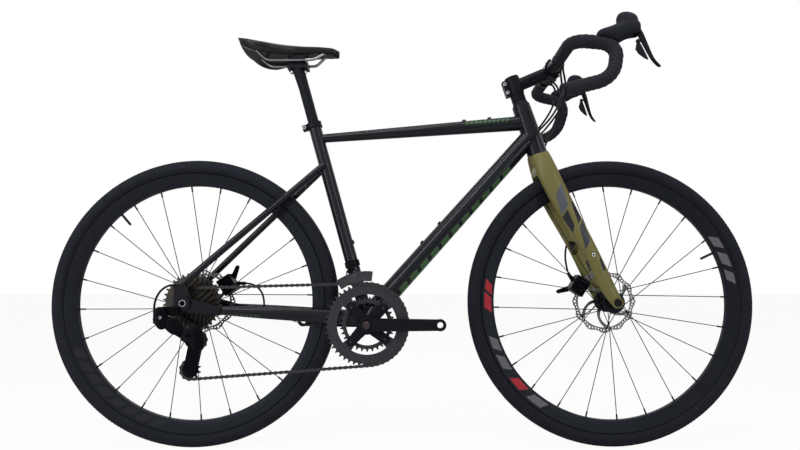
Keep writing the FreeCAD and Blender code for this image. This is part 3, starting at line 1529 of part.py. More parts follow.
def make_axle(label, hub, reach, head_side):
    """A thru-axle with a flat head."""
    low = aside(hub, -reach)
    head_at = aside(hub, head_side * reach - (S.axle_head_height if head_side < 0 else 0))
    shaft = bound("Part::Cylinder", label + "_shaft", Placement(low, TURN_TO_AXLE),
                  Radius="Sizes.axle_radius")
    shaft.Height = 2 * reach
    head = bound("Part::Cylinder", label + "_head", Placement(head_at, TURN_TO_AXLE),
                 Radius="Sizes.axle_head_radius", Height="Sizes.axle_head_height")
    keep(label, fused_object(label + "_whole", [shaft, head]))


front_end = S.fork_dropout_spacing / 2 - S.part_gap
rear_end = S.dropout_spacing / 2 - S.part_gap
front_end_text = "Sizes.fork_dropout_spacing / 2 - Sizes.part_gap"
rear_end_text = "Sizes.dropout_spacing / 2 - Sizes.part_gap"
for wheel, hub, valve in (("front", front_hub, FRONT_VALVE_ANGLE), ("rear", rear_hub, REAR_VALVE_ANGLE)):
    make_tyre(wheel, hub)
    make_inner_tube(wheel, hub, valve)
    make_rim(wheel, hub, valve)
make_spokes("front", front_hub, S.front_flange_right, S.front_flange_left, FRONT_VALVE_ANGLE)
make_spokes("rear", rear_hub, S.rear_flange_right, S.rear_flange_left, REAR_VALVE_ANGLE)
make_hub("front", front_hub,
         hub_outline(front_end_text, "Sizes.front_flange_right", "Sizes.front_flange_left",
                     "Sizes.front_rotor_offset", front_end_text), front_end, front_end)
make_hub("rear", rear_hub,
         hub_outline("Sizes.freehub_start - Sizes.part_gap", "Sizes.rear_flange_right",
                     "Sizes.rear_flange_left", "Sizes.rear_rotor_offset", rear_end_text),
         S.freehub_start - S.part_gap, rear_end)
make_rotor("front", front_hub, S.front_rotor_offset)
make_rotor("rear", rear_hub, S.rear_rotor_offset)
make_axle("front_axle", front_hub, S.fork_dropout_spacing / 2 + S.fork_dropout_thickness, -1)
make_axle("rear_axle", rear_hub,
          S.dropout_spacing / 2 + S.dropout_thickness + S.dropout_boss_height, 1)


# Chain layout: sprocket, ring and two pulleys on one plane

def pitch_radius(teeth):
    return S.chain_pitch / (2 * math.sin(math.pi / teeth))


chain_plane = SIDEWAYS * -S.chain_line
guide_centre = rear_hub + Vector(S.guide_pulley_forward, 0, -S.guide_pulley_drop)


def chain_wheels(cage_angle):
    """The wheels in the order that the chain meets them, with their turning sense."""
    tension_centre = around(guide_centre, cage_angle, S.pulley_distance)
    return [
        (rear_hub, SPROCKET_TEETH[CHAIN_SPROCKET], 1),
        (bracket, LARGE_RING_TEETH, 1),
        (tension_centre, PULLEY_TEETH, 1),
        (guide_centre, PULLEY_TEETH, -1),
    ]


def chain_runs(wheels):
    """Each straight run's heading, from one wheel to the next."""
    headings = []
    for (here, teeth, sense), (there, next_teeth, next_sense) in zip(wheels, wheels[1:] + wheels[:1]):
        span = there - here
        offset = next_sense * pitch_radius(next_teeth) - sense * pitch_radius(teeth)
        headings.append(math.atan2(span.z, span.x) + math.asin(offset / span.Length))
    return headings


def touch(wheel, heading, height=0.0):
    """Where a run that heads this way leaves or meets a wheel, height outside the pitch line."""
    centre, teeth, sense = wheel
    right = Vector(math.sin(heading), 0, -math.cos(heading))
    return centre - right * (sense * pitch_radius(teeth) + height)


def wrap(wheel, arriving, leaving):
    """The angle that the chain wraps round a wheel."""
    sense = wheel[2]
    return ((arriving - leaving) * sense) % (2 * math.pi)


def link_count(cage_angle):
    """The chain's length in links with the cage at this angle."""
    wheels = chain_wheels(cage_angle)
    headings = chain_runs(wheels)
    total = 0.0
    for index, wheel in enumerate(wheels):
        total += wrap(wheel, headings[index - 1], headings[index]) * wheel[1] / (2 * math.pi)
        following = wheels[(index + 1) % len(wheels)]
        total += (touch(following, headings[index]) - touch(wheel, headings[index])).Length / S.chain_pitch
    return total


def settle_cage():
    """The cage angle at which the chain is a whole, even number of links."""
    low, high = CAGE_ANGLE_RANGE
    target = 2 * round(link_count(CAGE_USUAL_ANGLE) / 2)
    rising = link_count(high) > link_count(low)
    for _ in range(HALVING_COUNT):
        middle = (low + high) / 2
        if (link_count(middle) < target) == rising:
            low = middle
        else:
            high = middle
    print(f"chain: {target} links, cage at {middle:.2f} degrees, {link_count(middle):.4f} links round")
    return middle


cage_angle = settle_cage()
wheels = chain_wheels(cage_angle)
headings = chain_runs(wheels)
tension_centre = wheels[2][0]


def chain_ribbon(height):
    """The closed line that runs at a height outside the chain's pitch line."""
    edges = []
    for index, wheel in enumerate(wheels):
        arriving, leaving = headings[index - 1], headings[index]
        half = wheel[2] * wrap(wheel, arriving, leaving) / 2
        start, middle = touch(wheel, arriving, height), touch(wheel, arriving - half, height)
        end = touch(wheel, leaving, height)
        edges.append(Part.Arc(start, middle, end).toShape())
        following = touch(wheels[(index + 1) % len(wheels)], leaving, height)
        edges.append(Part.LineSegment(end, following).toShape())
    return Part.Wire(edges)


def chain_pins():
    """Pin places one pitch apart round the chain, and each wheel's first tooth gap."""
    pins, gaps = [], []
    travelled = 0.0
    for index, wheel in enumerate(wheels):
        centre, teeth, sense = wheel
        arriving, leaving = headings[index - 1], headings[index]
        links = wrap(wheel, arriving, leaving) * teeth / (2 * math.pi)
        first = math.ceil(travelled) - travelled
        gaps.append(arriving - sense * first * 2 * math.pi / teeth)
        while first < links:
            pins.append(touch(wheel, arriving - sense * first * 2 * math.pi / teeth))
            first += 1
        travelled += links
        start = touch(wheel, leaving)
        end = touch(wheels[(index + 1) % len(wheels)], leaving)
        run = (end - start).Length / S.chain_pitch
        first = math.ceil(travelled) - travelled
        while first < run:
            pins.append(start + (end - start) * (first / run))
            first += 1
        travelled += run
    return pins, gaps


pins, gap_headings = chain_pins()


def gap_angle(index):
    """The angle, seen from the right side, of a tooth gap on a chain wheel."""
    spot = touch(wheels[index], gap_headings[index]) - wheels[index][0]
    return math.atan2(spot.z, spot.x)


def toothed_face(centre, teeth, phase):
    """A sprocket's outline: a round seat for each roller and a tooth between seats."""
    radius = pitch_radius(teeth)
    seat = S.roller_radius + S.roller_seat_gap
    seat_half = 2 * math.asin(seat / (2 * radius))
    tip_radius = radius + S.tooth_height
    tip_half = S.tooth_tip_width / 2 / tip_radius
    step = 2 * math.pi / teeth

    def spot(reach, angle):
        return centre + Vector(math.cos(angle), 0, math.sin(angle)) * reach

    edges = []
    for tooth in range(teeth):
        at = phase + step * tooth
        start, end = spot(radius, at - seat_half), spot(radius, at + seat_half)
        edges.append(Part.Arc(start, spot(radius - seat, at), end).toShape())
        rise = spot(tip_radius, at + step / 2 - tip_half)
        fall = spot(tip_radius, at + step / 2 + tip_half)
        edges.append(Part.LineSegment(end, rise).toShape())
        edges.append(Part.LineSegment(rise, fall).toShape())
        edges.append(Part.LineSegment(fall, spot(radius, at + step - seat_half)).toShape())
    return Part.Face(Part.Wire(edges))


def toothed_wheel(centre, teeth, phase, offset, thickness, bore):
    """A flat toothed wheel with a round bore, centred on a sideways offset."""
    face = toothed_face(aside(centre, offset - thickness / 2), teeth, phase)
    solid = face.extrude(SIDEWAYS * thickness)
    reach = SIDEWAYS * (thickness / 2 + S.overrun)
    middle = aside(centre, offset)
    return solid.cut(rod(middle - reach, middle + reach, bore))


def make_chain():
    """Two rows of side plates with a roller at each pin."""
    outlines = [chain_ribbon(S.chain_plate_half_height), chain_ribbon(-S.chain_plate_half_height)]
    face = Part.makeFace(outlines, "Part::FaceMakerBullseye")
    inner = S.chain_inner_width / 2
    solids = []
    for side in (-1, 1):
        plate = face.copy()
        plate.translate(chain_plane + SIDEWAYS * (side * inner))
        solids.append(plate.extrude(SIDEWAYS * (side * S.chain_plate_thickness)))
    for pin in pins:
        middle = pin + chain_plane
        solids.append(rod(aside(middle, -inner), aside(middle, inner), S.roller_radius))
    return solids


group("chain", make_chain())


# Cassette on its freehub body

def make_cassette():
    clear = S.freehub_radius + S.running_gap
    first = -S.chain_line - CHAIN_SPROCKET * S.sprocket_step
    half = S.sprocket_thickness / 2
    solids = []
    chain_phase = gap_angle(0)
    for index, teeth in enumerate(SPROCKET_TEETH):
        offset = first + index * S.sprocket_step
        solids.append(toothed_wheel(rear_hub, teeth, chain_phase, offset, S.sprocket_thickness, clear))
        if index:
            start = aside(rear_hub, offset - S.sprocket_step + half)
            solids.append(ring(start, aside(rear_hub, offset - half), S.sprocket_spacer_radius, clear))
    barrel_end = first - half
    barrel = ring(aside(rear_hub, barrel_end), aside(rear_hub, -S.freehub_start), S.freehub_radius,
                  S.axle_radius + S.running_gap)
    lockring = ring(aside(rear_hub, -S.freehub_end), aside(rear_hub, barrel_end), S.lockring_radius,
                    S.axle_radius + S.running_gap)
    end_cap = ring(aside(rear_hub, -rear_end), aside(rear_hub, -S.freehub_end), S.hub_bore_radius,
                   S.axle_radius + S.running_gap)
    return solids + [united([barrel, lockring, end_cap])]


group("cassette", make_cassette())


# Cranks, spindle, chainrings and their bolts

spider_face = S.chain_line + S.chainring_thickness / 2


def spider_bolt_spots():
    return [around(bracket, angle, S.bolt_circle_radius) for angle in SPIDER_ARM_ANGLES]


def crank_arm(heading):
    """A crank arm on the right side: boss, tapered arm and pedal eye."""
    eye = bracket + heading * S.crank_length
    boss_part = rod(aside(bracket, -S.crank_boss_start), aside(bracket, -S.crank_boss_end),
                    S.crank_boss_radius)
    eye_part = rod(aside(eye, -S.crank_eye_start), aside(eye, -S.crank_eye_end), S.crank_eye_radius)

    def section(centre, tall, inner, outer):
        up = heading.cross(SIDEWAYS) * (tall / 2)
        corners = [aside(centre + up, -inner), aside(centre + up, -outer),
                   aside(centre - up, -outer), aside(centre - up, -inner)]
        return Part.makePolygon(corners + corners[:1])

    arm = loft([section(bracket, S.crank_root_height, S.crank_root_inner, S.crank_boss_end),
                section(eye, S.crank_tip_height, S.crank_eye_start, S.crank_eye_end)], True)
    hole = rod(aside(eye, -S.crank_eye_start + S.overrun), aside(eye, -S.crank_eye_end - S.overrun),
               S.pedal_thread_radius)
    return united([boss_part, arm, eye_part]).cut(hole)


def make_spider():
    """Four arms from the crank's boss to the chainring bolts."""
    near = SIDEWAYS * -spider_face
    push = SIDEWAYS * -S.spider_thickness
    hub_disc = rod(bracket + near, bracket + near + push, S.spider_hub_radius)
    arms = [capsule(bracket + near, spot + near, S.spider_arm_width / 2, S.chainring_tab_radius, push)
            for spot in spider_bolt_spots()]
    return united([hub_disc] + arms)


def chainring_bolts():
    """A bolt at each spider arm, with the sleeve that spaces the small ring."""
    half = S.chainring_thickness / 2
    far = S.chain_line - S.chainring_gap + half
    solids = []
    for spot in spider_bolt_spots():
        outer = aside(spot, -spider_face - S.spider_thickness)
        shank = rod(outer, aside(spot, -(S.chain_line - S.chainring_gap - half)), S.chainring_bolt_radius)
        head = rod(aside(outer, -S.chainring_bolt_head_height), outer, S.chainring_bolt_head_radius)
        sleeve = rod(aside(spot, -(S.chain_line - half)), aside(spot, -far),
                     S.chainring_bolt_head_radius)
        solids.append(united([shank, head, sleeve]))
    return solids


def make_chainrings(bolts):
    """The two toothed rings, each with four tabs on the bolt circle."""
    large_inner = pitch_radius(LARGE_RING_TEETH) - S.chainring_band
    half = S.chainring_thickness / 2
    large = toothed_wheel(bracket, LARGE_RING_TEETH, gap_angle(1), -S.chain_line, S.chainring_thickness,
                          large_inner)
    small_offset = -(S.chain_line - S.chainring_gap)
    small = toothed_wheel(bracket, SMALL_RING_TEETH, gap_angle(1), small_offset, S.chainring_thickness,
                          S.small_ring_inner_radius)
    tabs = []
    for angle, spot in zip(SPIDER_ARM_ANGLES, spider_bolt_spots()):
        root = around(bracket, angle, large_inner + S.chainring_tab_radius / 2)
        tabs.append(capsule(aside(spot, -S.chain_line - half), aside(root, -S.chain_line - half),
                            S.chainring_tab_radius, S.spider_arm_width / 2,
                            SIDEWAYS * S.chainring_thickness))
    lugs = [rod(aside(spot, small_offset - half), aside(spot, small_offset + half),
                S.chainring_tab_radius) for spot in spider_bolt_spots()]
    large = united([large] + tabs)
    small = united([small] + lugs)
    for bolt in bolts:
        large = large.cut(bolt)
        small = small.cut(bolt)
    return [largest(large), largest(small)]


def make_cranks():
    right = crank_arm(FORWARD)
    left = mirrored(crank_arm(FORWARD * -1))
    spindle = rod(aside(bracket, -S.crank_boss_end), aside(bracket, S.crank_boss_end), S.spindle_radius)
    ring_bolts = chainring_bolts()
    right = united([right, make_spider()]).cut(spindle)
    for bolt in ring_bolts:
        right = right.cut(bolt)
    group("crank_right", [largest(right), spindle])
    piece("crank_left", largest(left.cut(spindle)))
    group("chainrings", make_chainrings(ring_bolts) + ring_bolts)


make_cranks()


# Front derailleur: mount on the seat tube, link and cage

def seat_side(height, ahead, offset):
    """A point beside the seat tube, by height along it, forward of it and sideways."""
    return aside(on_seat(height) + seat_out * ahead, offset)


front_pivot = seat_side(S.front_mech_height, 0, -S.front_mech_pivot_side)
front_cage_pivot = front_pivot + Vector(0, -S.front_mech_link_out, -S.front_mech_link_down)
pivot_half = FORWARD * (S.front_mech_link_width / 2)


def make_front_mount():
    """A band round the seat tube with two ears that hold the link's pin."""
    half = S.front_mech_band_height / 2
    band = ring(on_seat(S.front_mech_height - half), on_seat(S.front_mech_height + half),
                S.seat_tube_radius + S.front_mech_band_wall, S.seat_tube_radius)
    ears = []
    gap = S.front_mech_link_width / 2 + S.part_gap
    for end in (-1, 1):
        root = front_pivot + FORWARD * (end * gap)
        root.y = -S.seat_tube_radius
        tip = front_pivot + FORWARD * (end * gap)
        ears.append(capsule(root, tip, half, S.front_mech_link_thickness / 2,
                            FORWARD * (end * S.front_mech_band_wall)))
    reach = FORWARD * (gap + S.front_mech_band_wall)
    pin = rod(front_pivot - reach, front_pivot + reach, S.front_mech_pin_radius)
    return largest(united([band] + ears + [pin]).cut(seat_outer))


def make_front_link():
    """The link that swings the cage sideways, bored for a pin at each end."""
    start = front_pivot - pivot_half
    end = front_cage_pivot - pivot_half
    radius = S.front_mech_link_thickness / 2
    bar = capsule(start, end, radius, radius, pivot_half * 2)
    over = FORWARD * S.overrun
    for spot in (front_pivot, front_cage_pivot):
        bar = bar.cut(rod(spot - pivot_half - over, spot + pivot_half + over,
                          S.front_mech_pin_radius + S.running_gap))
    return bar


def arc_band(inner, outer, angles, offset, thickness):
    """A curved plate round the bracket between two angles."""
    low, high = angles
    middle = (low + high) / 2
    spots = [around(bracket, angle, reach) for reach in (inner, outer) for angle in (low, middle, high)]
    edges = [
        Part.Arc(spots[0], spots[1], spots[2]).toShape(),
        Part.LineSegment(spots[2], spots[5]).toShape(),
        Part.Arc(spots[5], spots[4], spots[3]).toShape(),
        Part.LineSegment(spots[3], spots[0]).toShape(),
    ]
    face = Part.Face(Part.Wire(edges))
    face.translate(SIDEWAYS * offset)
    return face.extrude(SIDEWAYS * thickness)


def make_front_cage():
    """Two curved plates beside the chain, bridged behind, hung on the link."""
    inner = pitch_radius(LARGE_RING_TEETH) + S.tooth_height + S.front_mech_clearance
    outer = inner + S.front_mech_plate_height
    thick = S.front_mech_plate_thickness
    half = S.front_mech_cage_half_width
    out_plate = arc_band(inner, outer, FRONT_MECH_ARC, -S.chain_line - half - thick, thick)
    in_plate = arc_band(inner, outer, FRONT_MECH_ARC, -S.chain_line + half, thick)
    tie_share, front_share, root_share = 0.1, 0.4, 0.5
    low, high = FRONT_MECH_ARC
    tie_angles = (high - (high - low) * tie_share, high)
    across = 2 * (half + thick)
    tie = arc_band(inner, inner + 2 * thick, tie_angles, -S.chain_line - half - thick, across)
    top_angles = (low, low + (high - low) * front_share)
    top_tie = arc_band(outer - thick, outer, top_angles, -S.chain_line - half - thick, across)
    gap = S.front_mech_link_width / 2 + S.part_gap
    ears = []
    for end in (-1, 1):
        tip = front_cage_pivot + FORWARD * (end * gap)
        root = Vector(tip.x, tip.y, bracket.z + outer - S.front_mech_plate_height * root_share)
        ears.append(capsule(root, tip, S.front_mech_link_thickness / 2, S.front_mech_link_thickness / 2,
                            FORWARD * (end * S.front_mech_band_wall)))
    reach = FORWARD * (gap + S.front_mech_band_wall)
    pin = rod(front_cage_pivot - reach, front_cage_pivot + reach, S.front_mech_pin_radius)
    return largest(united([out_plate, in_plate, tie, top_tie] + ears + [pin]))


piece("front_derailleur_mount", make_front_mount())
piece("front_derailleur_link", make_front_link())
piece("front_derailleur_cage", make_front_cage())


# Rear derailleur: a slanted four-bar linkage, a sprung cage and two pulleys

link_turn = math.radians(S.mech_link_slope)
slant_turn = math.radians(S.mech_slant)
link_along = Vector(math.cos(link_turn), 0, -math.sin(link_turn))
link_drop = Vector(-math.sin(link_turn), 0, -math.cos(link_turn))
link_across = SIDEWAYS * math.cos(slant_turn) + link_drop * math.sin(slant_turn)
link_axis = link_along.cross(link_across)
outer_pivot = rear_hub + Vector(-S.mech_pivot_back, -S.mech_pivot_side, -S.mech_pivot_drop)
inner_pivot = outer_pivot + link_across * S.mech_link_spacing


def oriented_block(origin, along, across, up):
    """A block in the linkage's own directions, each given from low to high."""
    low = origin + link_along * along[0] + link_across * across[0] + link_axis * up[0]
    corners = [low, low + link_along * (along[1] - along[0])]
    corners.append(corners[1] + link_across * (across[1] - across[0]))
    corners.append(low + link_across * (across[1] - across[0]))
    return slab(corners, link_axis * (up[1] - up[0]))


link_half = S.mech_link_width / 2
tab_near = link_half + S.mech_tab_gap
tab_far = tab_near + S.mech_tab_thickness


def make_link(pivot, far_gap):
    """One link of the four-bar: a bar bored for a pin at each end."""
    half = S.mech_link_thickness / 2
    bar = oriented_block(pivot, (-S.mech_link_end, S.mech_link_length + S.mech_link_end),
                         (-half, half), (-link_half, link_half))
    reach = link_axis * (link_half + S.overrun)
    for spot, gap in ((pivot, S.running_gap), (pivot + link_along * S.mech_link_length, far_gap)):
        bar = bar.cut(rod(spot - reach, spot + reach, S.mech_pin_radius + gap))
    return bar


def knuckle(origin, direction):
    """A knuckle's block, its two tabs and the pins of both links."""
    half = S.mech_link_thickness / 2
    across = (-half, S.mech_link_spacing + half)
    start = S.mech_knuckle_start
    end = start + S.mech_knuckle_length

    def span(low, high):
        return (low, high) if direction > 0 else (-high, -low)

    solids = [oriented_block(origin, span(start, end), across, (-tab_far, tab_far))]
    for low, high in ((tab_near, tab_far), (-tab_far, -tab_near)):
        solids.append(oriented_block(origin, span(-S.mech_link_end, start), across, (low, high)))
    for spot in (origin, origin + link_across * S.mech_link_spacing):
        solids.append(rod(spot - link_axis * tab_far, spot + link_axis * tab_far, S.mech_pin_radius))
    return solids


def make_frame_knuckle():
    """The knuckle bolted to the hanger, with the stop of its cable housing."""
    solids = knuckle(outer_pivot, -1)
    face = hanger_eye.y - S.hanger_thickness
    block = outer_pivot - link_along * (S.mech_knuckle_start + S.mech_knuckle_length / 2)
    block = block + link_across * (S.mech_link_spacing / 2)
    push = SIDEWAYS * -S.mech_shoulder_width
    bolt = Vector(hanger_eye.x, face, hanger_eye.z)
    shoulder = aside(rear_hub + Vector(-S.mech_shoulder_back, 0, -S.mech_shoulder_drop), face)
    low = Vector(block.x, face, block.z)
    solids.append(capsule(bolt, shoulder, S.mech_boss_radius, S.mech_shoulder_radius, push))
    solids.append(capsule(shoulder, low, S.mech_shoulder_radius, S.mech_shoulder_radius, push))
    stop = housing_stop()
    root = Vector(block.x, stop.y, block.z)
    solids.append(rod(root, stop, S.mech_stop_radius))
    return largest(united(solids))


def housing_stop():
    """Where the gear housing ends on the rear derailleur."""
    back_share, up_share = 1.72, 0.7
    return rear_hub + Vector(-S.mech_pivot_back * back_share, -S.mech_pivot_side + S.mech_stop_radius,
                             -S.mech_pivot_drop * up_share)


def make_cage_knuckle():
    """The knuckle at the cage, with the sleeve that the cage turns in."""
    origin = outer_pivot + link_along * S.mech_link_length
    solids = knuckle(origin, 1)
    plate_out = -S.chain_line - S.cage_half_width - S.cage_plate_thickness
    near = aside(guide_centre, plate_out - S.part_gap)
    far = aside(guide_centre, outer_pivot.y)
    solids.append(rod(near, far, S.cage_sleeve_radius))
    bore = rod(aside(near, S.overrun), far, S.cage_boss_radius + S.running_gap)
    return largest(united(solids).cut(bore))


def make_cage():
    """Two plates on the pulley pins, with the boss that turns in the knuckle."""
    solids = []
    for side in (-1, 1):
        start = -S.chain_line + side * S.cage_half_width
        push = SIDEWAYS * (side * S.cage_plate_thickness)
        solids.append(capsule(aside(guide_centre, start), aside(tension_centre, start),
                              S.cage_end_radius, S.cage_end_radius, push))
    for spot in (guide_centre, tension_centre):
        solids.append(rod(aside(spot, -S.chain_line - S.cage_half_width),
                          aside(spot, -S.chain_line + S.cage_half_width), S.pulley_pin_radius))
    plate_out = -S.chain_line - S.cage_half_width - S.cage_plate_thickness
    boss_end = outer_pivot.y + S.part_gap
    solids.append(rod(aside(guide_centre, plate_out), aside(guide_centre, boss_end), S.cage_boss_radius))
    return largest(united(solids))


def make_pulley(index):
    """A toothed pulley on a sleeve between the cage plates."""
    centre = wheels[index][0]
    clear = S.pulley_pin_radius + S.running_gap
    half = S.cage_half_width - S.part_gap
    disc = toothed_wheel(centre, PULLEY_TEETH, gap_angle(index), -S.chain_line, S.pulley_thickness, clear)
    middle = -S.chain_line
    sleeve = ring(aside(centre, middle - half), aside(centre, middle + half), S.pulley_hub_radius, clear)
    return united([disc, sleeve])


piece("derailleur_frame_knuckle", make_frame_knuckle())
piece("derailleur_outer_link", make_link(outer_pivot, S.running_gap))
piece("derailleur_inner_link", make_link(inner_pivot, S.part_gap))
piece("derailleur_cage_knuckle", make_cage_knuckle())
piece("derailleur_cage", make_cage())
piece("guide_pulley", make_pulley(3))
piece("tension_pulley", make_pulley(2))


# Disc calipers, pads and pull arms

def make_caliper(hub, angle, offset, housing_spot, neighbours):
    """A caliper astride the rotor with its two pads and the lug that stops its housing."""
    out = around(Vector(), angle, 1)
    along = out.cross(SIDEWAYS)

    def block(reaches, lengths, offsets):
        corners = [hub + out * reaches[0] + along * lengths[0], hub + out * reaches[1] + along * lengths[0],
                   hub + out * reaches[1] + along * lengths[1], hub + out * reaches[0] + along * lengths[1]]
        return slab([aside(corner, offset + offsets[0]) for corner in corners],
                    SIDEWAYS * (offsets[1] - offsets[0]))

    length = (-S.caliper_half_length, S.caliper_half_length)
    pad_near = S.rotor_thickness / 2 + S.part_gap
    pad_far = pad_near + S.pad_thickness
    body = block((S.caliper_inner_reach, S.caliper_outer_reach), length,
                 (-pad_far - S.caliper_inner_width, pad_far + S.caliper_outer_width))
    slot_low = S.caliper_inner_reach - S.overrun
    slot = block((slot_low, S.caliper_slot_reach),
                 (length[0] - S.overrun, length[1] + S.overrun), (-pad_far, pad_far))
    body = body.cut(slot)
    pad_length = (-S.pad_half_length, S.pad_half_length)
    pad_reach = (S.caliper_inner_reach, S.rotor_radius)
    pads = [block(pad_reach, pad_length, (pad_near, pad_far)),
            block(pad_reach, pad_length, (-pad_far, -pad_near))]
    pivot = hub + out * S.caliper_centre_reach
    face = offset + pad_far + S.caliper_outer_width
    pin = rod(aside(pivot, face - S.overrun), aside(pivot, face + S.brake_arm_thickness + 2 * S.part_gap),
              S.brake_pivot_radius)
    root = aside(pivot + out * (S.caliper_outer_reach - S.caliper_centre_reach) / 2, housing_spot.y)
    lug = rod(root, housing_spot, S.mech_stop_radius)
    for neighbour in neighbours:
        body = body.cut(neighbour)
        lug = lug.cut(neighbour)
    return [largest(united([largest(body), pin, lug]))] + pads, aside(pivot, face + S.part_gap)


def make_brake_arm(pivot, angle):
    """The arm that the brake cable pulls, bored for the caliper's pivot."""
    tip = around(pivot, angle, S.brake_arm_length)
    push = SIDEWAYS * S.brake_arm_thickness
    plate = capsule(pivot, tip, S.brake_arm_root_radius, S.brake_arm_tip_radius, push)
    over = SIDEWAYS * S.overrun
    return plate.cut(rod(pivot - over, pivot + push + over, S.brake_pivot_radius + S.running_gap)), tip


def stop_spot(hub, angle, rotor_offset, reach):
    """Where a brake housing ends, at an angle and a reach from the hub, outside the rotor."""
    housing_line_share = 0.72
    return aside(around(hub, angle, reach), rotor_offset + S.caliper_outer_width * housing_line_share)


front_stop = stop_spot(front_hub, S.front_caliper_angle - S.front_stop_lag, S.front_rotor_offset,
                       S.front_stop_reach)
rear_stop = stop_spot(rear_hub, S.rear_caliper_angle - S.rear_stop_lag, S.rear_rotor_offset,
                      S.rear_stop_reach)
front_caliper, front_arm_pivot = make_caliper(front_hub, S.front_caliper_angle, S.front_rotor_offset,
                                              front_stop, [fork_shape])
rear_caliper, rear_arm_pivot = make_caliper(rear_hub, S.rear_caliper_angle, S.rear_rotor_offset, rear_stop,
                                            [chainstays[1], seatstays[1], dropouts[1]])
group("front_caliper", front_caliper)
group("rear_caliper", rear_caliper)
piece("front_caliper_arm", make_brake_arm(front_arm_pivot, S.front_arm_angle)[0])
piece("rear_caliper_arm", make_brake_arm(rear_arm_pivot, S.rear_arm_angle)[0])


# Cables: their points are chosen by hand along the routes that the housings take

GEAR_LOOP = [(-503, -76, 391), (-524, -79, 394), (-546, -82, 390), (-561, -83.5, 377), (-570, -84, 358),
             (-572.5, -83.8, 339), (-571.6, -83.5, 321)]
REAR_BRAKE_LOOP = [(-414, 63.5, 396), (-392.6, 64.5, 396), (-369.4, 61, 382.6), (-356, 56, 359.4),
                   (-355, 53, 336)]
RIGHT_HOUSING = [(381, -63.2, 916.4), (383, -43, 911.5), (389, -30, 895), (392, -27, 872), (387, -28, 845),
                 (373, -31, 817), (353, -34, 790), (327, -34, 764), (299, -31, 739), (273, -25, 715),
                 (256, 0, 700)]
CROSSING_HOUSING = [(385, -63.2, 923), (389, -43, 917), (398, -27, 902), (405, -14, 880), (404, -2, 856),
                    (393, 10, 830), (375, 21, 804), (354, 29, 779), (329, 33, 756), (303, 31, 734),
                    (278, 25, 713), (260, 0, 702)]
LEFT_HOUSING = [(381, 63.2, 916.4), (383, 43, 911.5), (389, 30.5, 895), (390, 31, 871), (381, 35, 842),
                (364, 39, 814), (342, 42, 787), (316, 42, 761), (289, 38, 737), (264, 30, 714),
                (247, 3, 697)]
FRONT_BRAKE_UPPER = [(385, 63.2, 923), (389, 44, 917), (397, 33, 899), (402, 30, 875), (400, 30, 848),
                     (392, 31, 818), (380, 32, 788), (367, 32, 758), (355, 29, 730), (346, 23, 704)]
FRONT_BRAKE_LOWER = [(424, 52, 512), (418, 53, 490), (415, 53, 466), (417, 52, 444), (421, 51, 424)]


def make_cable(name, spots, neighbours):
    """A housing that ends flush at the pieces that it enters."""
    solid = cable(name, [Vector(*spot) for spot in spots])
    for neighbour in neighbours:
        solid = solid.cut(neighbour)
    return largest(solid)


frame_knuckle_shape = next(item.Shape for item in nodes if item.Label == "derailleur_frame_knuckle")
group("rear_cables", [
    make_cable("gear housing loop", GEAR_LOOP, [dropouts[-1], seatstays[-1], frame_knuckle_shape]),
    make_cable("rear brake housing", REAR_BRAKE_LOOP, [chainstays[1], rear_caliper[0]]),
])
group("control_cables", [
    make_cable("right housing", RIGHT_HOUSING, [down_tube_outer]),
    make_cable("crossing housing", CROSSING_HOUSING, [down_tube_outer]),
    make_cable("left housing", LEFT_HOUSING, [down_tube_outer]),
    make_cable("front brake housing, upper", FRONT_BRAKE_UPPER, [fork_shape]),
    make_cable("front brake housing, lower", FRONT_BRAKE_LOWER, [fork_shape, front_caliper[0]]),
])


# Check every object, then write each sub-part

doc.recompute()
for item in doc.Objects:
    if "Invalid" in item.State or "Error" in item.State:
        raise RuntimeError(f"{item.Label} failed: {item.State}")
faulty = [item.Label for item in nodes if item.Shape.isNull() or not item.Shape.isValid()]
if faulty:
    raise RuntimeError(f"no valid shape: {faulty}")
os.makedirs("parts", exist_ok=True)
for item in nodes:
    item.Shape.exportStep(os.path.join("parts", item.Label + ".step"))
print(f"{len(nodes)} sub-parts written")
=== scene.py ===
# %% [markdown]
# # A gravel bike, dressed
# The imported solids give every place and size. This lesson adds what solids leave out:
# a tyre's tread, a chain's links, wrapped tape, a padded saddle, bent cables and paint.

# %% Load the frame
import json
import math
import bpy
import numpy as np
from mathutils import Matrix, Vector


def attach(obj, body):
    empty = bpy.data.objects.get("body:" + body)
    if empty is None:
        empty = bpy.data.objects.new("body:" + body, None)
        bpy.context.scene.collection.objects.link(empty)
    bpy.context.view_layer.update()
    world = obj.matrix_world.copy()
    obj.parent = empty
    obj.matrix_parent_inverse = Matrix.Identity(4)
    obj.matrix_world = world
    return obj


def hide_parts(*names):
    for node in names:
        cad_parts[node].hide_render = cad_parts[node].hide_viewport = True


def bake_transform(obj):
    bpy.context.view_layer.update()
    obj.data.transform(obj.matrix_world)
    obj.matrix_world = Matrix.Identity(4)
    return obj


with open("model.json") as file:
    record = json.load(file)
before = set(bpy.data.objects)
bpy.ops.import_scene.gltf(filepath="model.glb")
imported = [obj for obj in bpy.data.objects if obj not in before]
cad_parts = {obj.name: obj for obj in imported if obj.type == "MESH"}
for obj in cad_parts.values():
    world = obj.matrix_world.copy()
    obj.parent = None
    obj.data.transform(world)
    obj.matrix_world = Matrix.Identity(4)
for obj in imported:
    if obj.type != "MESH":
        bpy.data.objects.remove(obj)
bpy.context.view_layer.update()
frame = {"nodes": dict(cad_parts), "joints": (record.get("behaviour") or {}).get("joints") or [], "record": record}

nodes = frame["nodes"]
joints = {joint["name"]: joint for joint in frame["joints"]}
mount_place = {mount["name"]: np.array(mount["pos_m"]) for mount in frame["record"]["mounts"]}
WHEELS_AND_CRANK = ("front_wheel_spin", "rear_wheel_spin", "crank_spin")
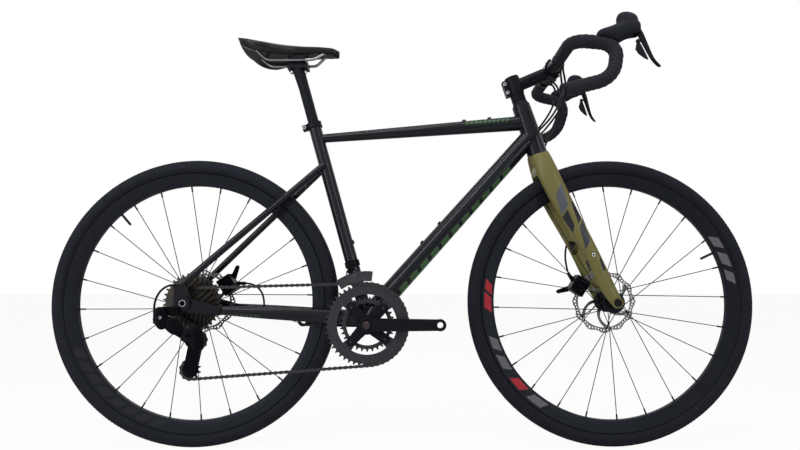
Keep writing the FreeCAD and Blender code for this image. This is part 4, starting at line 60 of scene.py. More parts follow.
front_hub, rear_hub, crank_centre = (np.array(joints[name]["pos_m"]) for name in WHEELS_AND_CRANK)
head_up = np.array(joints["steering"]["axis"])

# %% [markdown]
# ## Camera
# The picture was taken from the chain side at hub height, slightly upwards, with a wide lens.
# A camera that stands where the photographer stood gives the same overlaps. The small shift
# stands for the crop of the picture.

# %% Camera
IMAGE_WIDTH = 800
FOCAL_PIXELS = 553.6
SENSOR_WIDTH = 36.0
PICTURE_CENTRE_SHIFT = (-12.9, 26.6)
CAMERA_PLACE = (0.0168, -1.3661, 0.4042)
CAMERA_PITCH = 2.93
CAMERA_YAW = -0.3

lens = bpy.data.cameras.new("camera")
lens.sensor_width = SENSOR_WIDTH
lens.lens = FOCAL_PIXELS / IMAGE_WIDTH * SENSOR_WIDTH
lens.shift_x = PICTURE_CENTRE_SHIFT[0] / IMAGE_WIDTH
lens.shift_y = PICTURE_CENTRE_SHIFT[1] / IMAGE_WIDTH
camera = bpy.data.objects.new("camera", lens)
camera.location = CAMERA_PLACE
camera.rotation_euler = (math.radians(90 + CAMERA_PITCH), 0, math.radians(CAMERA_YAW))
bpy.context.scene.collection.objects.link(camera)
bpy.context.scene.camera = camera
print("camera lens", round(lens.lens, 2), "mm")

# %% [markdown]
# ## Shader arithmetic
# A material is a small sum of masks and noises. Wrapping an output socket in a class that knows
# the arithmetic signs lets each finish be written as a formula instead of a page of nodes.

# %% Shader arithmetic
NOISE_LOW, NOISE_HIGH = 0.3, 0.7


class Socket:
    """A shader output; arithmetic on it adds Math nodes to its tree."""

    def __init__(self, finish, output):
        self.finish = finish
        self.output = output

    def math(self, operation, left, right=0.0, third=0.0):
        return self.finish.node("ShaderNodeMath", {"operation": operation}, {0: left, 1: right, 2: third})

    def __add__(self, other):
        return self.math("ADD", self, other)

    __radd__ = __add__

    def __sub__(self, other):
        return self.math("SUBTRACT", self, other)

    def __rsub__(self, other):
        return self.math("SUBTRACT", other, self)

    def __mul__(self, other):
        return self.math("MULTIPLY", self, other)

    __rmul__ = __mul__

    def __truediv__(self, other):
        return self.math("DIVIDE", self, other)

    def __mod__(self, other):
        return self.math("FLOORED_MODULO", self, other)

    def __lt__(self, other):
        return self.math("LESS_THAN", self, other)

    def __gt__(self, other):
        return self.math("GREATER_THAN", self, other)

    def __abs__(self):
        return self.math("ABSOLUTE", self)

    def between(self, low, high):
        return (self > low) * (self < high)

    def root(self):
        return self.math("SQRT", self)


class Finish:
    """A material and the few node recipes that the finishes share."""

    def __init__(self, name, **constants):
        self.material = bpy.data.materials.new(name)
        self.material.use_nodes = True
        self.tree = self.material.node_tree
        self.shader = self.tree.nodes["Principled BSDF"]
        for label, value in constants.items():
            self.shader.inputs[label.replace("_", " ")].default_value = value

    def node(self, kind, settings=(), inputs=(), output=0):
        made = self.tree.nodes.new(kind)
        for key, value in dict(settings).items():
            setattr(made, key, value)
        for key, value in dict(inputs).items():
            self.feed(made.inputs[key], value)
        return Socket(self, made.outputs[output])

    def feed(self, socket, value):
        if isinstance(value, Socket):
            self.tree.links.new(value.output, socket)
        else:
            socket.default_value = value

    def place(self, centre=(0, 0, 0)):
        """Object coordinates measured from a centre."""
        spot = self.node("ShaderNodeTexCoord", output="Object")
        return self.node("ShaderNodeVectorMath", {"operation": "SUBTRACT"}, {0: spot, 1: centre})

    def axes(self, spot):
        parts = self.node("ShaderNodeSeparateXYZ", (), {0: spot}).output.node
        return [Socket(self, parts.outputs[index]) for index in range(3)]

    def along(self, spot, direction):
        """How far a spot lies along a direction."""
        return self.node("ShaderNodeVectorMath", {"operation": "DOT_PRODUCT"}, {0: spot, 1: direction},
                         output="Value")

    def noise(self, spot, scale, detail=3.0):
        return self.node("ShaderNodeTexNoise", (), {"Vector": spot, "Scale": scale, "Detail": detail})

    def cells(self, spot, scale):
        return self.node("ShaderNodeTexVoronoi", (), {"Vector": spot, "Scale": scale})

    def stretch(self, value, low, high, new_low=0.0, new_high=1.0):
        """A smooth ramp from new_low at low to new_high at high."""
        return self.node("ShaderNodeMapRange", {"interpolation_type": "SMOOTHSTEP"},
                         {0: value, 1: low, 2: high, 3: new_low, 4: new_high})

    def tint(self, share, first, second):
        """A colour that goes from the first to the second with a share."""
        mixed = self.tree.nodes.new("ShaderNodeMix")
        mixed.data_type = "RGBA"
        self.feed(mixed.inputs["Factor"], share)
        for key, colour in (("A", first), ("B", second)):
            socket = [item for item in mixed.inputs if item.name == key and item.type == "RGBA"][0]
            self.feed(socket, colour)
        result = [item for item in mixed.outputs if item.type == "RGBA"][0]
        return Socket(self, result)

    def mottle(self, spot, scale, tones):
        """A dark and a light tone mixed by a noise."""
        dark, light = tones
        return self.tint(self.noise(spot, scale), rgb(*dark), rgb(*light))

    def colour(self, value):
        self.feed(self.shader.inputs["Base Color"], value)

    def roughness(self, value):
        self.feed(self.shader.inputs["Roughness"], value)

    def uneven(self, noise, low, high):
        """Roughness that follows a noise between two values."""
        self.roughness(self.stretch(noise, NOISE_LOW, NOISE_HIGH, low, high))

    def bump(self, height, depth):
        """Relief of a depth in metres, where the height runs from 0 to 1."""
        normal = self.node("ShaderNodeBump", (), {"Strength": 1.0, "Distance": depth, "Height": height},
                           output="Normal")
        self.feed(self.shader.inputs["Normal"], normal)


def rgb(red, green, blue):
    return (red, green, blue, 1.0)

# %% [markdown]
# ## Stage and light
# A plain pale floor and long thin lamps, which leave narrow bright lines on the tubes and little on
# flat plates. The white behind the bike comes from the world as the camera and the glossy surfaces
# see it, so that little extra light falls on the paint.

# %% Stage and light
FLOOR_SIZE = 30.0
FLOOR_TONES = ((0.88, 0.88, 0.88), (0.92, 0.92, 0.92))
FLOOR_GLOW_SHARE = 0.94
WORLD_LIGHT = 0.22

floor_grid = np.array([[-1, -1, 0], [1, -1, 0], [1, 1, 0], [-1, 1, 0]], float) * FLOOR_SIZE / 2
floor_mesh = bpy.data.meshes.new("floor")
floor_mesh.from_pydata(floor_grid.tolist(), [], [[0, 1, 2, 3]])
floor = bpy.data.objects.new("floor", floor_mesh)
bpy.context.scene.collection.objects.link(floor)

floor_finish = Finish("pale_floor", Roughness=0.9)
floor_finish.colour(floor_finish.mottle(floor_finish.place(), 3.0, FLOOR_TONES))
seen = floor_finish.node("ShaderNodeLightPath", output="Is Camera Ray")
glow = floor_finish.node("ShaderNodeEmission", (), {"Color": rgb(1, 1, 1), "Strength": 1.0})
mixed_floor = floor_finish.node("ShaderNodeMixShader", (), {
    0: seen * FLOOR_GLOW_SHARE, 1: Socket(floor_finish, floor_finish.shader.outputs[0]), 2: glow})
floor_finish.feed(floor_finish.tree.nodes["Material Output"].inputs["Surface"], mixed_floor)
floor_mesh.materials.append(floor_finish.material)

world = bpy.data.worlds.new("studio")
bpy.context.scene.world = world
world.use_nodes = True
# The world has a tree of nodes but no material, so only the recipes of a finish are used here.
studio = Finish.__new__(Finish)
studio.tree = world.node_tree
paths = [studio.node("ShaderNodeLightPath", output=name)
         for name in ("Is Camera Ray", "Is Glossy Ray", "Is Transmission Ray")]
shown = paths[0].math("MAXIMUM", paths[0], paths[0].math("MAXIMUM", paths[1], paths[2]))
back = world.node_tree.nodes["Background"]
back.inputs["Color"].default_value = rgb(1, 1, 1)
studio.feed(back.inputs["Strength"], WORLD_LIGHT + shown * (1 - WORLD_LIGHT))


def add_lamp(name, place, aim, width, height, power, roll=0.0):
    """A soft oblong lamp that faces a point, rolled about the line to it by some degrees."""
    lamp = bpy.data.lights.new(name, "AREA")
    lamp.energy = power
    lamp.shape = "RECTANGLE"
    lamp.size, lamp.size_y = width, height
    holder = bpy.data.objects.new(name, lamp)
    holder.location = place
    back_way = Vector(place) - Vector(aim)
    facing = back_way.to_track_quat("Z", "Y").to_matrix() @ Matrix.Rotation(math.radians(roll), 3, "Z")
    holder.rotation_euler = facing.to_euler()
    bpy.context.scene.collection.objects.link(holder)


BIKE_MIDDLE = (0.0, 0.0, 0.5)
add_lamp("overhead_strip", (0.0, -0.7, 2.7), BIKE_MIDDLE, 3.6, 0.2, 26)
add_lamp("down_tube_strip", (-0.95, -1.85, 1.95), BIKE_MIDDLE, 0.16, 2.4, 26, -42)
add_lamp("left_strip", (-1.7, -1.4, 0.7), BIKE_MIDDLE, 0.16, 1.8, 12)
add_lamp("right_strip", (1.7, -1.8, 1.1), BIKE_MIDDLE, 0.2, 2.0, 14)
add_lamp("back_lamp", (0.4, 2.2, 2.1), BIKE_MIDDLE, 2.2, 0.5, 14)
bpy.context.scene.view_settings.view_transform = "Standard"
print("stage and five lamps set")

# %% [markdown]
# ## Surfaces from formulas
# Each new piece is a grid of points: rows along its length and columns round its section.
# One function turns such a grid into a mesh, closes its seams and points its faces outwards.

# %% Steps, directions and curves
def round_steps(count):
    """Even angles once round a circle."""
    return np.linspace(0, 2 * math.pi, count, endpoint=False)


def eased(count):
    """Shares from 0 to 1 that lie closer together at both ends."""
    return 0.5 - 0.5 * np.cos(np.linspace(0, math.pi, count))


def unit(way):
    """A direction as a vector of length one."""
    return way / np.linalg.norm(way, axis=-1, keepdims=True)


def circle(angle):
    """The point of a unit circle at each angle."""
    return np.stack([np.cos(angle), np.sin(angle)], -1)


def upright(flat, side):
    """Flat points as x and z, with a distance to the side as y."""
    return np.stack([flat[..., 0], np.broadcast_to(side, flat.shape[:-1]), flat[..., 1]], -1)


def smooth_through(shares, values, at):
    """A curve through the values whose slope at each is that of its neighbours."""
    slopes = np.gradient(values, shares)
    index = np.clip(np.searchsorted(shares, at, side="right") - 1, 0, len(shares) - 2)
    width = shares[index + 1] - shares[index]
    t = (at - shares[index]) / width
    return ((2 * t ** 3 - 3 * t ** 2 + 1) * values[index] + (t ** 3 - 2 * t ** 2 + t) * width * slopes[index]
            + (3 * t ** 2 - 2 * t ** 3) * values[index + 1] + (t ** 3 - t ** 2) * width * slopes[index + 1])


# %% Surfaces from formulas
def grid_faces(rows, columns, wrap_rows, wrap_columns):
    """Quads between neighbouring points of a grid, round the seam where it wraps."""
    r = np.arange(rows if wrap_rows else rows - 1)
    c = np.arange(columns if wrap_columns else columns - 1)
    r, c = np.meshgrid(r, c, indexing="ij")
    here, below = r * columns, (r + 1) % rows * columns
    c_next = (c + 1) % columns
    return np.stack([here + c, below + c, below + c_next, here + c_next], -1).reshape(-1, 4)


def enclosed(points, faces):
    """Six times the volume inside quads, negative where they face inwards."""
    a, b, c, d = (points[faces[:, k]] for k in range(4))
    return np.einsum("ij,ij->", a, np.cross(b, c)) + np.einsum("ij,ij->", a, np.cross(c, d))


def add_mesh(name, points, faces, smooth=True):
    """A mesh object from points and the lists of corners of its faces."""
    mesh = bpy.data.meshes.new(name)
    mesh.from_pydata(np.asarray(points).tolist(), [], [list(map(int, face)) for face in faces])
    mesh.polygons.foreach_set("use_smooth", np.full(len(mesh.polygons), smooth))
    mesh.update()
    made = bpy.data.objects.new(name, mesh)
    bpy.context.scene.collection.objects.link(made)
    return made


def add_surface(name, grid, wrap_rows=False, wrap_columns=True, caps=True):
    """A mesh from a grid of points with its open ends capped."""
    rows, columns = grid.shape[:2]
    points = grid.reshape(-1, 3)
    quads = grid_faces(rows, columns, wrap_rows, wrap_columns)
    turned = enclosed(points, quads) < 0
    if turned:
        quads = quads[:, ::-1]
    faces = quads.tolist()
    if caps and not wrap_rows:
        first = list(range(columns))
        last = list(range((rows - 1) * columns, rows * columns))
        faces += [first if turned else first[::-1], last[::-1] if turned else last]
    return add_mesh(name, points, faces)


def dress(piece, finish, body, slot, *stands_for):
    """Give a piece its finish, the body that it rides on and the solids that it stands for."""
    piece.data.materials.clear()
    piece.data.materials.append(finish.material)
    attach(piece, body)
    if stands_for:
        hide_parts(*stands_for)
    return piece


def rounded_path(corners, radii, step):
    """Points one step apart along straight runs that round each corner with an arc."""
    corners = np.asarray(corners, float)
    runs = []
    last = corners[0]
    for before, corner, after, radius in zip(corners, corners[1:], corners[2:], radii):
        back_way, ahead = unit(before - corner), unit(after - corner)
        half = math.acos(np.dot(back_way, ahead)) / 2
        reach = radius / math.tan(half)
        start, end = corner + back_way * reach, corner + ahead * reach
        centre = corner + unit(back_way + ahead) * (radius / math.sin(half))
        count = max(2, int(np.linalg.norm(start - last) / step))
        runs.append(last + (start - last) * np.linspace(0, 1, count, endpoint=False)[:, None])
        sweep = math.pi - 2 * half
        turn = np.linspace(0, sweep, max(3, int(radius * sweep / step)), endpoint=False)[:, None]
        runs.append(centre + (start - centre) * np.cos(turn) - back_way * radius * np.sin(turn))
        last = end
    count = max(2, int(np.linalg.norm(corners[-1] - last) / step))
    runs.append(last + (corners[-1] - last) * np.linspace(0, 1, count)[:, None])
    return np.concatenate(runs)


def carried_frames(path, first_normal):
    """A normal and a side at each point, the normal turned no more than the path bends."""
    tangents = unit(np.gradient(path, axis=0))
    normal = np.asarray(first_normal, float)
    normals = []
    for tangent in tangents:
        normal = unit(normal - tangent * np.dot(normal, tangent))
        normals.append(normal)
    return np.array(normals), np.cross(tangents, normals)


def lengths_along(path):
    """Distance along a path from its start to each of its points."""
    steps = np.linalg.norm(np.diff(path, axis=0), axis=1)
    return np.concatenate([[0], np.cumsum(steps)])


def tube_grid(path, first_normal, radius, columns):
    """A round section carried along a path; radius(length, angle) may vary over the tube."""
    normals, sides = carried_frames(path, first_normal)
    angle = round_steps(columns)
    reach = radius(lengths_along(path)[:, None], angle[None, :])
    ring = np.cos(angle)[None, :, None] * normals[:, None] + np.sin(angle)[None, :, None] * sides[:, None]
    return path[:, None] + ring * np.broadcast_to(reach, ring.shape[:2])[..., None]


def lathe_grid(base, axis, profile, sides):
    """Rings about an axis: the profile gives height along it and radius."""
    axis = unit(np.asarray(axis, float))
    helper = np.array([1.0, 0, 0]) if abs(axis[0]) < 0.7 else np.array([0, 1.0, 0])
    across = unit(np.cross(axis, helper))
    angle = round_steps(sides)
    ring = np.cos(angle)[:, None] * across + np.sin(angle)[:, None] * np.cross(axis, across)
    profile = np.asarray(profile, float)
    return np.asarray(base) + profile[:, 0, None, None] * axis + profile[:, 1, None, None] * ring


def joined(parts):
    """Several lists of points and faces as one."""
    points, faces, offset = [], [], 0
    for part_points, part_faces in parts:
        points.append(part_points)
        faces += [[corner + offset for corner in face] for face in part_faces]
        offset += len(part_points)
    return np.concatenate(points), faces


def add_modifier(piece, name, kind, **settings):
    """A modifier whose settings are given by name."""
    made = piece.modifiers.new(name, kind)
    for key, value in settings.items():
        setattr(made, key, value)

# %% [markdown]
# ## Paint and metal
# The frame is gloss black over alloy with green marks, the fork olive green with dark slanted
# blocks whose shades hold a painted sheen. Small noises in roughness and relief keep the surfaces
# from looking like plain plastic.

# %% Frame and fork paint
COOL = rgb(0.72, 0.82, 1.0)
GREEN_MARK = rgb(0.035, 0.085, 0.030)
STAY_MARK = rgb(0.022, 0.036, 0.029)
FRAME_TONES = ((0.0026, 0.0030, 0.0046), (0.0046, 0.0054, 0.0082))
OLIVE_TONES = ((0.112, 0.102, 0.030), (0.132, 0.120, 0.038))
DOWN_TUBE_RADIUS = 0.0235
BLADE_OUTER_HALF = 0.041


def gloss_black(name):
    """Black lacquer whose shade and gloss vary a little over the tubes."""
    finish = Finish(name, Coat_Weight=0.32, Coat_Roughness=0.19, Specular_IOR_Level=0.06, Specular_Tint=COOL)
    spot = finish.place()
    finish.uneven(finish.noise(spot, scale=60.0), 0.27, 0.32)
    finish.bump(finish.noise(spot, scale=700.0), depth=0.000003)
    return finish, finish.mottle(spot, 14.0, FRAME_TONES)


def plain_paint(name):
    """Black lacquer with no marks."""
    finish, black = gloss_black(name)
    finish.colour(black)
    return finish


def barred_paint(name, mark, origin, along_way, up_way, span, heights, pitch, fill, slant):
    """Black with slanted bars in a row: a share of each pitch, between two heights."""
    finish, black = gloss_black(name)
    spot = finish.place(tuple(origin))
    across = finish.along(spot, tuple(up_way))
    leaned = finish.along(spot, tuple(along_way)) - across * slant
    bar = ((leaned - span[0]) % pitch) < pitch * fill
    bars = bar * leaned.between(*span) * across.between(*heights)
    finish.colour(finish.tint(bars, black, mark))
    return finish


# Dark printed blocks as corners in x and z, each with its shade. The shades differ by painted sheen: the first and
# lightest is a painted highlight.
FORK_BLOCKS_AND_SHEEN = (
    (((0.3660, 0.6108), (0.3811, 0.6355), (0.3950, 0.5851), (0.3799, 0.5593)), rgb(0.064, 0.068, 0.088)),
    (((0.3816, 0.5544), (0.3926, 0.5728), (0.4081, 0.5324), (0.4054, 0.5160)), rgb(0.012, 0.013, 0.018)),
    (((0.4031, 0.5875), (0.4086, 0.5973), (0.4280, 0.5581), (0.4169, 0.5361)), rgb(0.005, 0.0055, 0.008)),
    (((0.4193, 0.5324), (0.4285, 0.5459), (0.4436, 0.4970), (0.4323, 0.4763)), rgb(0.030, 0.032, 0.042)),
    (((0.4648, 0.4508), (0.4678, 0.4593), (0.4790, 0.4313), (0.4740, 0.4241)), rgb(0.008, 0.009, 0.012)))


def inside_outline(x, z, corners):
    """One where a point lies on the same side of every edge of a convex outline."""
    edges = zip(corners, corners[1:] + corners[:1])
    sides = [((x - ax) * (bz - az) - (z - az) * (bx - ax)) > 0 for (ax, az), (bx, bz) in edges]
    return math.prod(sides[1:], start=sides[0])


def fork_paint():
    """Olive green with slanted dark blocks on the outside of each blade, their shades a painted sheen."""
    finish = Finish("fork_olive", Coat_Weight=0.12, Coat_Roughness=0.26, Specular_IOR_Level=0.14)
    spot = finish.place()
    x, y, z = finish.axes(spot)
    outside = abs(y) > BLADE_OUTER_HALF
    colour = finish.mottle(spot, 24.0, OLIVE_TONES)
    # Each printed block is tinted in with its shade, which carries the painted sheen.
    for corners, shade in FORK_BLOCKS_AND_SHEEN:
        colour = finish.tint(inside_outline(x, z, corners) * outside, colour, shade)
    finish.colour(colour)
    finish.uneven(finish.noise(spot, scale=90.0), 0.34, 0.44)
    finish.bump(finish.noise(spot, scale=800.0), depth=0.00003)
    return finish


down_along = unit(mount_place["down_tube_boss_high"] - mount_place["down_tube_boss_low"])
down_up = np.array([-down_along[2], 0, down_along[0]])
down_middle = mount_place["down_tube_boss_low"] - down_up * DOWN_TUBE_RADIUS
down_paint = barred_paint("down_tube_black", GREEN_MARK, down_middle, down_along, down_up,
                          span=(-0.119, 0.297), heights=(-0.024, -0.0085), pitch=0.0378, fill=0.7, slant=0.35)
top_paint = barred_paint("top_tube_black", GREEN_MARK, (0.0, 0.0, 0.780), (1, 0, 0), (-0.08, 0, 1),
                         span=(0.155, 0.265), heights=(-0.0045, 0.0045), pitch=0.011, fill=0.7, slant=0.3)
stays_paint = barred_paint("stay_black", STAY_MARK, (-0.30, 0.0, 0.318), (1, 0, 0), (0.03, 0, 1),
                           span=(-0.132, -0.035), heights=(-0.004, 0.004), pitch=0.0105, fill=0.68, slant=0.3)
frame_paint, olive = plain_paint("frame_black"), fork_paint()

# %% Metals, rubber and plastic
BLACK = (0.0034, 0.0036, 0.0046)
TONES = {
    "alloy_black": (BLACK, (0.0060, 0.0064, 0.0080)),
    "ring_black": ((0.026, 0.028, 0.032), (0.038, 0.040, 0.045)),
    "bright_steel": ((0.45, 0.45, 0.46), (0.6, 0.6, 0.61)),
    "rear_disc_steel": ((0.42, 0.42, 0.43), (0.56, 0.56, 0.57)),
    "cassette_steel": ((0.026, 0.023, 0.021), (0.060, 0.053, 0.047)),
    "chain_steel": ((0.024, 0.024, 0.026), (0.056, 0.056, 0.058)),
    "mech_black": ((0.0014, 0.0015, 0.0021), (0.0028, 0.0029, 0.0038)),
    "spoke_black": (BLACK, (0.014, 0.014, 0.015)),
    "crank_cap_grey": ((0.040, 0.030, 0.030), (0.070, 0.054, 0.054)),
    "rail_steel": ((0.20, 0.20, 0.21), (0.30, 0.30, 0.31)),
    "bolt_steel": ((0.36, 0.36, 0.37), (0.52, 0.52, 0.53)),
    "front_cage_silver": ((0.022, 0.023, 0.026), (0.085, 0.087, 0.094)),
    "disc_steel": ((0.10, 0.10, 0.105), (0.16, 0.16, 0.165)),
    "tyre_rubber": ((0.0066, 0.0073, 0.0102), (0.0108, 0.0117, 0.0156)),
    "hood_rubber": ((0.0066, 0.0072, 0.0104), (0.0100, 0.0108, 0.0152)),
    "saddle_shell_gloss": ((0.0042, 0.0042, 0.0052), (0.0066, 0.0066, 0.0080)),
    "cable_black": ((0.0050, 0.0050, 0.0054), (0.0080, 0.0080, 0.0086)),
    "rim": ((0.0056, 0.0062, 0.0086), (0.0088, 0.0096, 0.0128)),
    "tape_cork": ((0.0112, 0.0118, 0.0150), (0.0180, 0.0186, 0.0228)),
    "saddle_leather": ((0.0055, 0.0056, 0.0066), (0.0100, 0.0102, 0.0118)),
}
TONES["plastic_black"] = TONES["alloy_black"]
TONES["rear_disc_dark_steel"] = TONES["disc_steel"]


def anodised(name, rough_low=0.36, rough_high=0.48, metallic=0.0, specular=0.09):
    """Bead-blasted alloy under a thin dark skin."""
    finish = Finish(name, Metallic=metallic, Specular_IOR_Level=specular, Specular_Tint=COOL)
    spot = finish.place()
    finish.colour(finish.mottle(spot, 120.0, TONES[name]))
    finish.uneven(finish.noise(spot, scale=260.0), rough_low, rough_high)
    finish.bump(finish.noise(spot, scale=2600.0, detail=1.0), depth=0.00002)
    return finish


def turned_metal(name, centre, roughness=0.34):
    """Metal with the fine rings of a lathe about an axle."""
    finish = Finish(name, Metallic=1.0)
    x, y, z = finish.axes(finish.place(tuple(centre)))
    ring_spot = finish.node("ShaderNodeCombineXYZ", (), {0: (x * x + z * z).root(), 1: y})
    rings = finish.noise(ring_spot, scale=900.0, detail=2.0)
    finish.colour(finish.mottle(finish.place(), 45.0, TONES[name]))
    finish.uneven(rings, roughness - 0.08, roughness + 0.1)
    finish.bump(rings, depth=0.00003)
    return finish


def moulded(name, roughness, grain, depth):
    """Rubber or plastic with a fine moulded grain."""
    finish = Finish(name, Specular_IOR_Level=0.09, Specular_Tint=COOL)
    spot = finish.place()
    finish.colour(finish.mottle(spot, 40.0, TONES[name]))
    finish.uneven(finish.noise(spot, scale=150.0), roughness - 0.05, roughness + 0.06)
    finish.bump(finish.cells(spot, grain), depth)
    return finish


alloy_black = anodised("alloy_black")
ring_black = anodised("ring_black", 0.38, 0.5, metallic=0.4)
bright_steel = turned_metal("bright_steel", front_hub)
rear_steel = turned_metal("rear_disc_steel", rear_hub)
cassette_steel = turned_metal("cassette_steel", rear_hub, roughness=0.42)
chain_steel = anodised("chain_steel", 0.3, 0.45, metallic=0.9)
mech_black = anodised("mech_black", 0.26, 0.36, specular=0.04)
spoke_black = anodised("spoke_black", 0.3, 0.4, metallic=0.3)
cap_grey = anodised("crank_cap_grey", 0.3, 0.42, metallic=0.7)
rail_steel = anodised("rail_steel", 0.3, 0.42, metallic=0.9)
bolt_steel = anodised("bolt_steel", 0.26, 0.36, metallic=0.95)
cage_silver = anodised("front_cage_silver", 0.24, 0.36, metallic=0.9)
tyre_rubber = moulded("tyre_rubber", roughness=0.62, grain=900.0, depth=0.0001)
hood_rubber = moulded("hood_rubber", roughness=0.6, grain=1100.0, depth=0.00008)
plastic_black = moulded("plastic_black", roughness=0.42, grain=1600.0, depth=0.00003)
saddle_gloss = moulded("saddle_shell_gloss", roughness=0.22, grain=600.0, depth=0.00001)
cable_black = moulded("cable_black", roughness=0.38, grain=900.0, depth=0.00002)

# %% [markdown]
# ## Rims
# Deep black rims carry pale and red marks on the real wheels. Here they are plain bars at the
# same places, found by angle and distance from the hub.

# %% Rims
RIM_INNER, RIM_OUTER = 0.286, 0.316
MARK_MARGIN = 0.006
MARK_LEAN = 160
MARK_STRENGTH = 0.85
RIM_RED = rgb(0.34, 0.022, 0.028)
RIM_PALE = rgb(0.115, 0.115, 0.120)
RIM_GREY = rgb(0.0155, 0.0155, 0.0170)


def rim_paint(name, hub, arcs):
    """Satin black with bars between pairs of angles in degrees, seen from the chain side."""
    finish = Finish(name, Specular_IOR_Level=0.10, Specular_Tint=COOL)
    spot = finish.place(tuple(hub))
    x, _, z = finish.axes(spot)
    reach = (x * x + z * z).root()
    angle = z.math("ARCTAN2", z, x) * (180 / math.pi)
    leaned = (angle + (reach - RIM_INNER) * MARK_LEAN) % 360
    band = reach.between(RIM_INNER + MARK_MARGIN, RIM_OUTER - MARK_MARGIN)
    colour = finish.mottle(spot, 30.0, TONES["rim"])
    for shade, pairs in arcs:
        for first, last in pairs:
            colour = finish.tint(band * leaned.between(first, last) * MARK_STRENGTH, colour, shade)
    finish.colour(colour)
    finish.uneven(finish.noise(spot, scale=110.0), 0.34, 0.46)
    finish.bump(finish.noise(spot, scale=1200.0), depth=0.00002)
    return finish


FRONT_PALE_ARCS = ((12, 17), (20, 26), (29, 34.5), (199, 205), (208, 215), (231, 239))
FRONT_RED_ARCS = ((173, 177.5), (179, 186), (220, 227))
REAR_GREY_ARCS = ((204, 209), (211, 216), (218, 223), (225, 231),
                  (233, 238), (240, 245), (247, 252), (254, 259))
front_rim_paint = rim_paint("front_rim_paint", front_hub,
                            ((RIM_PALE, FRONT_PALE_ARCS), (RIM_RED, FRONT_RED_ARCS)))
rear_rim_paint = rim_paint("rear_rim_paint", rear_hub, ((RIM_GREY, REAR_GREY_ARCS),))

# %% [markdown]
# ## Dressing the solids
# Solids whose shape is right stay and only get a finish. Their triangles are loose, so a weld and
# an edge split give smooth shading with crisp corners, and leave the solid itself as it is. Moulded
# and cast pieces are softened instead: small even cells that are smoothed round their corners.

# %% Dressing the solids
FINISH_OF = {
    frame_paint: ("head_tube", "seat_tube", "bottom_bracket_shell", "dropouts"),
    down_paint: ("down_tube",),
    top_paint: ("top_tube",),
    stays_paint: ("rear_stays",),
    olive: ("fork",),
    alloy_black: ("seat_clamp", "seatpost", "saddle_clamp", "headset_spacers", "stem",
                  "stem_faceplate", "handlebar", "front_hub", "rear_hub", "crank_right", "crank_left",
                  "left_brake_lever", "right_brake_lever", "front_axle", "rear_axle"),
    mech_black: ("front_caliper", "rear_caliper", "front_caliper_arm", "rear_caliper_arm",
                 "front_derailleur_mount", "front_derailleur_link", "derailleur_frame_knuckle",
                 "derailleur_outer_link", "derailleur_inner_link", "derailleur_cage_knuckle",
                 "derailleur_cage"),
    ring_black: ("chainrings",),
    front_rim_paint: ("front_rim",),
    rear_rim_paint: ("rear_rim",),
    bright_steel: ("frame_bearings", "front_rotor"),
    rail_steel: ("saddle_rails",),
    rear_steel: ("rear_rotor",),
    cage_silver: ("front_derailleur_cage",),
    spoke_black: ("front_spokes", "rear_spokes"),
    cassette_steel: ("cassette",),
    chain_steel: ("chain",),
    tyre_rubber: ("front_tyre", "rear_tyre", "front_inner_tube", "rear_inner_tube"),
    hood_rubber: ("lever_hoods", "bar_tape"),
    plastic_black: ("guide_pulley", "tension_pulley", "left_shift_paddle", "right_shift_paddle"),
    cable_black: ("control_cables", "rear_cables"),
    saddle_gloss: ("saddle_shell", "saddle_cover"),
}
WELD_REACH = 0.00001
CREASE_ANGLE = 32.0
CELL_AND_ROUNDS = {"lever_hoods": (0.0014, 60), "front_caliper": (0.0008, 5), "rear_caliper": (0.0008, 5)}
for finish, names in FINISH_OF.items():
    for name in names:
        solid = nodes[name]
        solid.data.materials.clear()
        solid.data.materials.append(finish.material)
        solid.data.polygons.foreach_set("use_smooth", np.ones(len(solid.data.polygons), bool))
        add_modifier(solid, "weld", "WELD", merge_threshold=WELD_REACH)
        if name in CELL_AND_ROUNDS:
            cell, rounds = CELL_AND_ROUNDS[name]
            add_modifier(solid, "cells", "REMESH", mode="VOXEL", voxel_size=cell, use_smooth_shade=True)
            add_modifier(solid, "soften", "SMOOTH", iterations=rounds)
        else:
            add_modifier(solid, "creases", "EDGE_SPLIT", split_angle=math.radians(CREASE_ANGLE))
undressed = sorted(set(nodes) - {name for names in FINISH_OF.values() for name in names})
print("solids without a finish:", undressed)

# %% [markdown]
# ## Tyres
# A gravel tyre has small blocks in the middle and larger ones on its shoulders. The section is a
# circle about the rim; blocks are added to its radius where two square waves are both high.

# %% Tyres
TYRE_CENTRE_RADIUS = 0.331
TYRE_BASE = 0.0182
TYRE_WALL = 0.0168
BEAD_ANGLE = 141.0
TYRE_STEPS, OUTER_POINTS, INNER_POINTS = 1440, 46, 12
BLOCKS_ROUND = 240
BLOCK_SHARE = 0.6
TREAD_ROWS = ((0.0, 6.0, 0.0007), (13.5, 5.5, 0.0008), (27.0, 5.0, 0.0009),
              (40.0, 5.0, 0.0011), (53.0, 5.0, 0.0013))


def tread_height(turn, section):
    """Height of the blocks: rows at set section angles, every second row half a block on."""
    height = np.zeros(np.broadcast(turn, section).shape)
    for index, (middle, half, tall) in enumerate(TREAD_ROWS):
        in_row = np.abs(np.abs(section) - middle) < half
        phase = (turn * BLOCKS_ROUND / (2 * math.pi) + 0.5 * (index % 2)) % 1.0
        height = np.where(in_row & (phase < BLOCK_SHARE), tall, height)
    return height


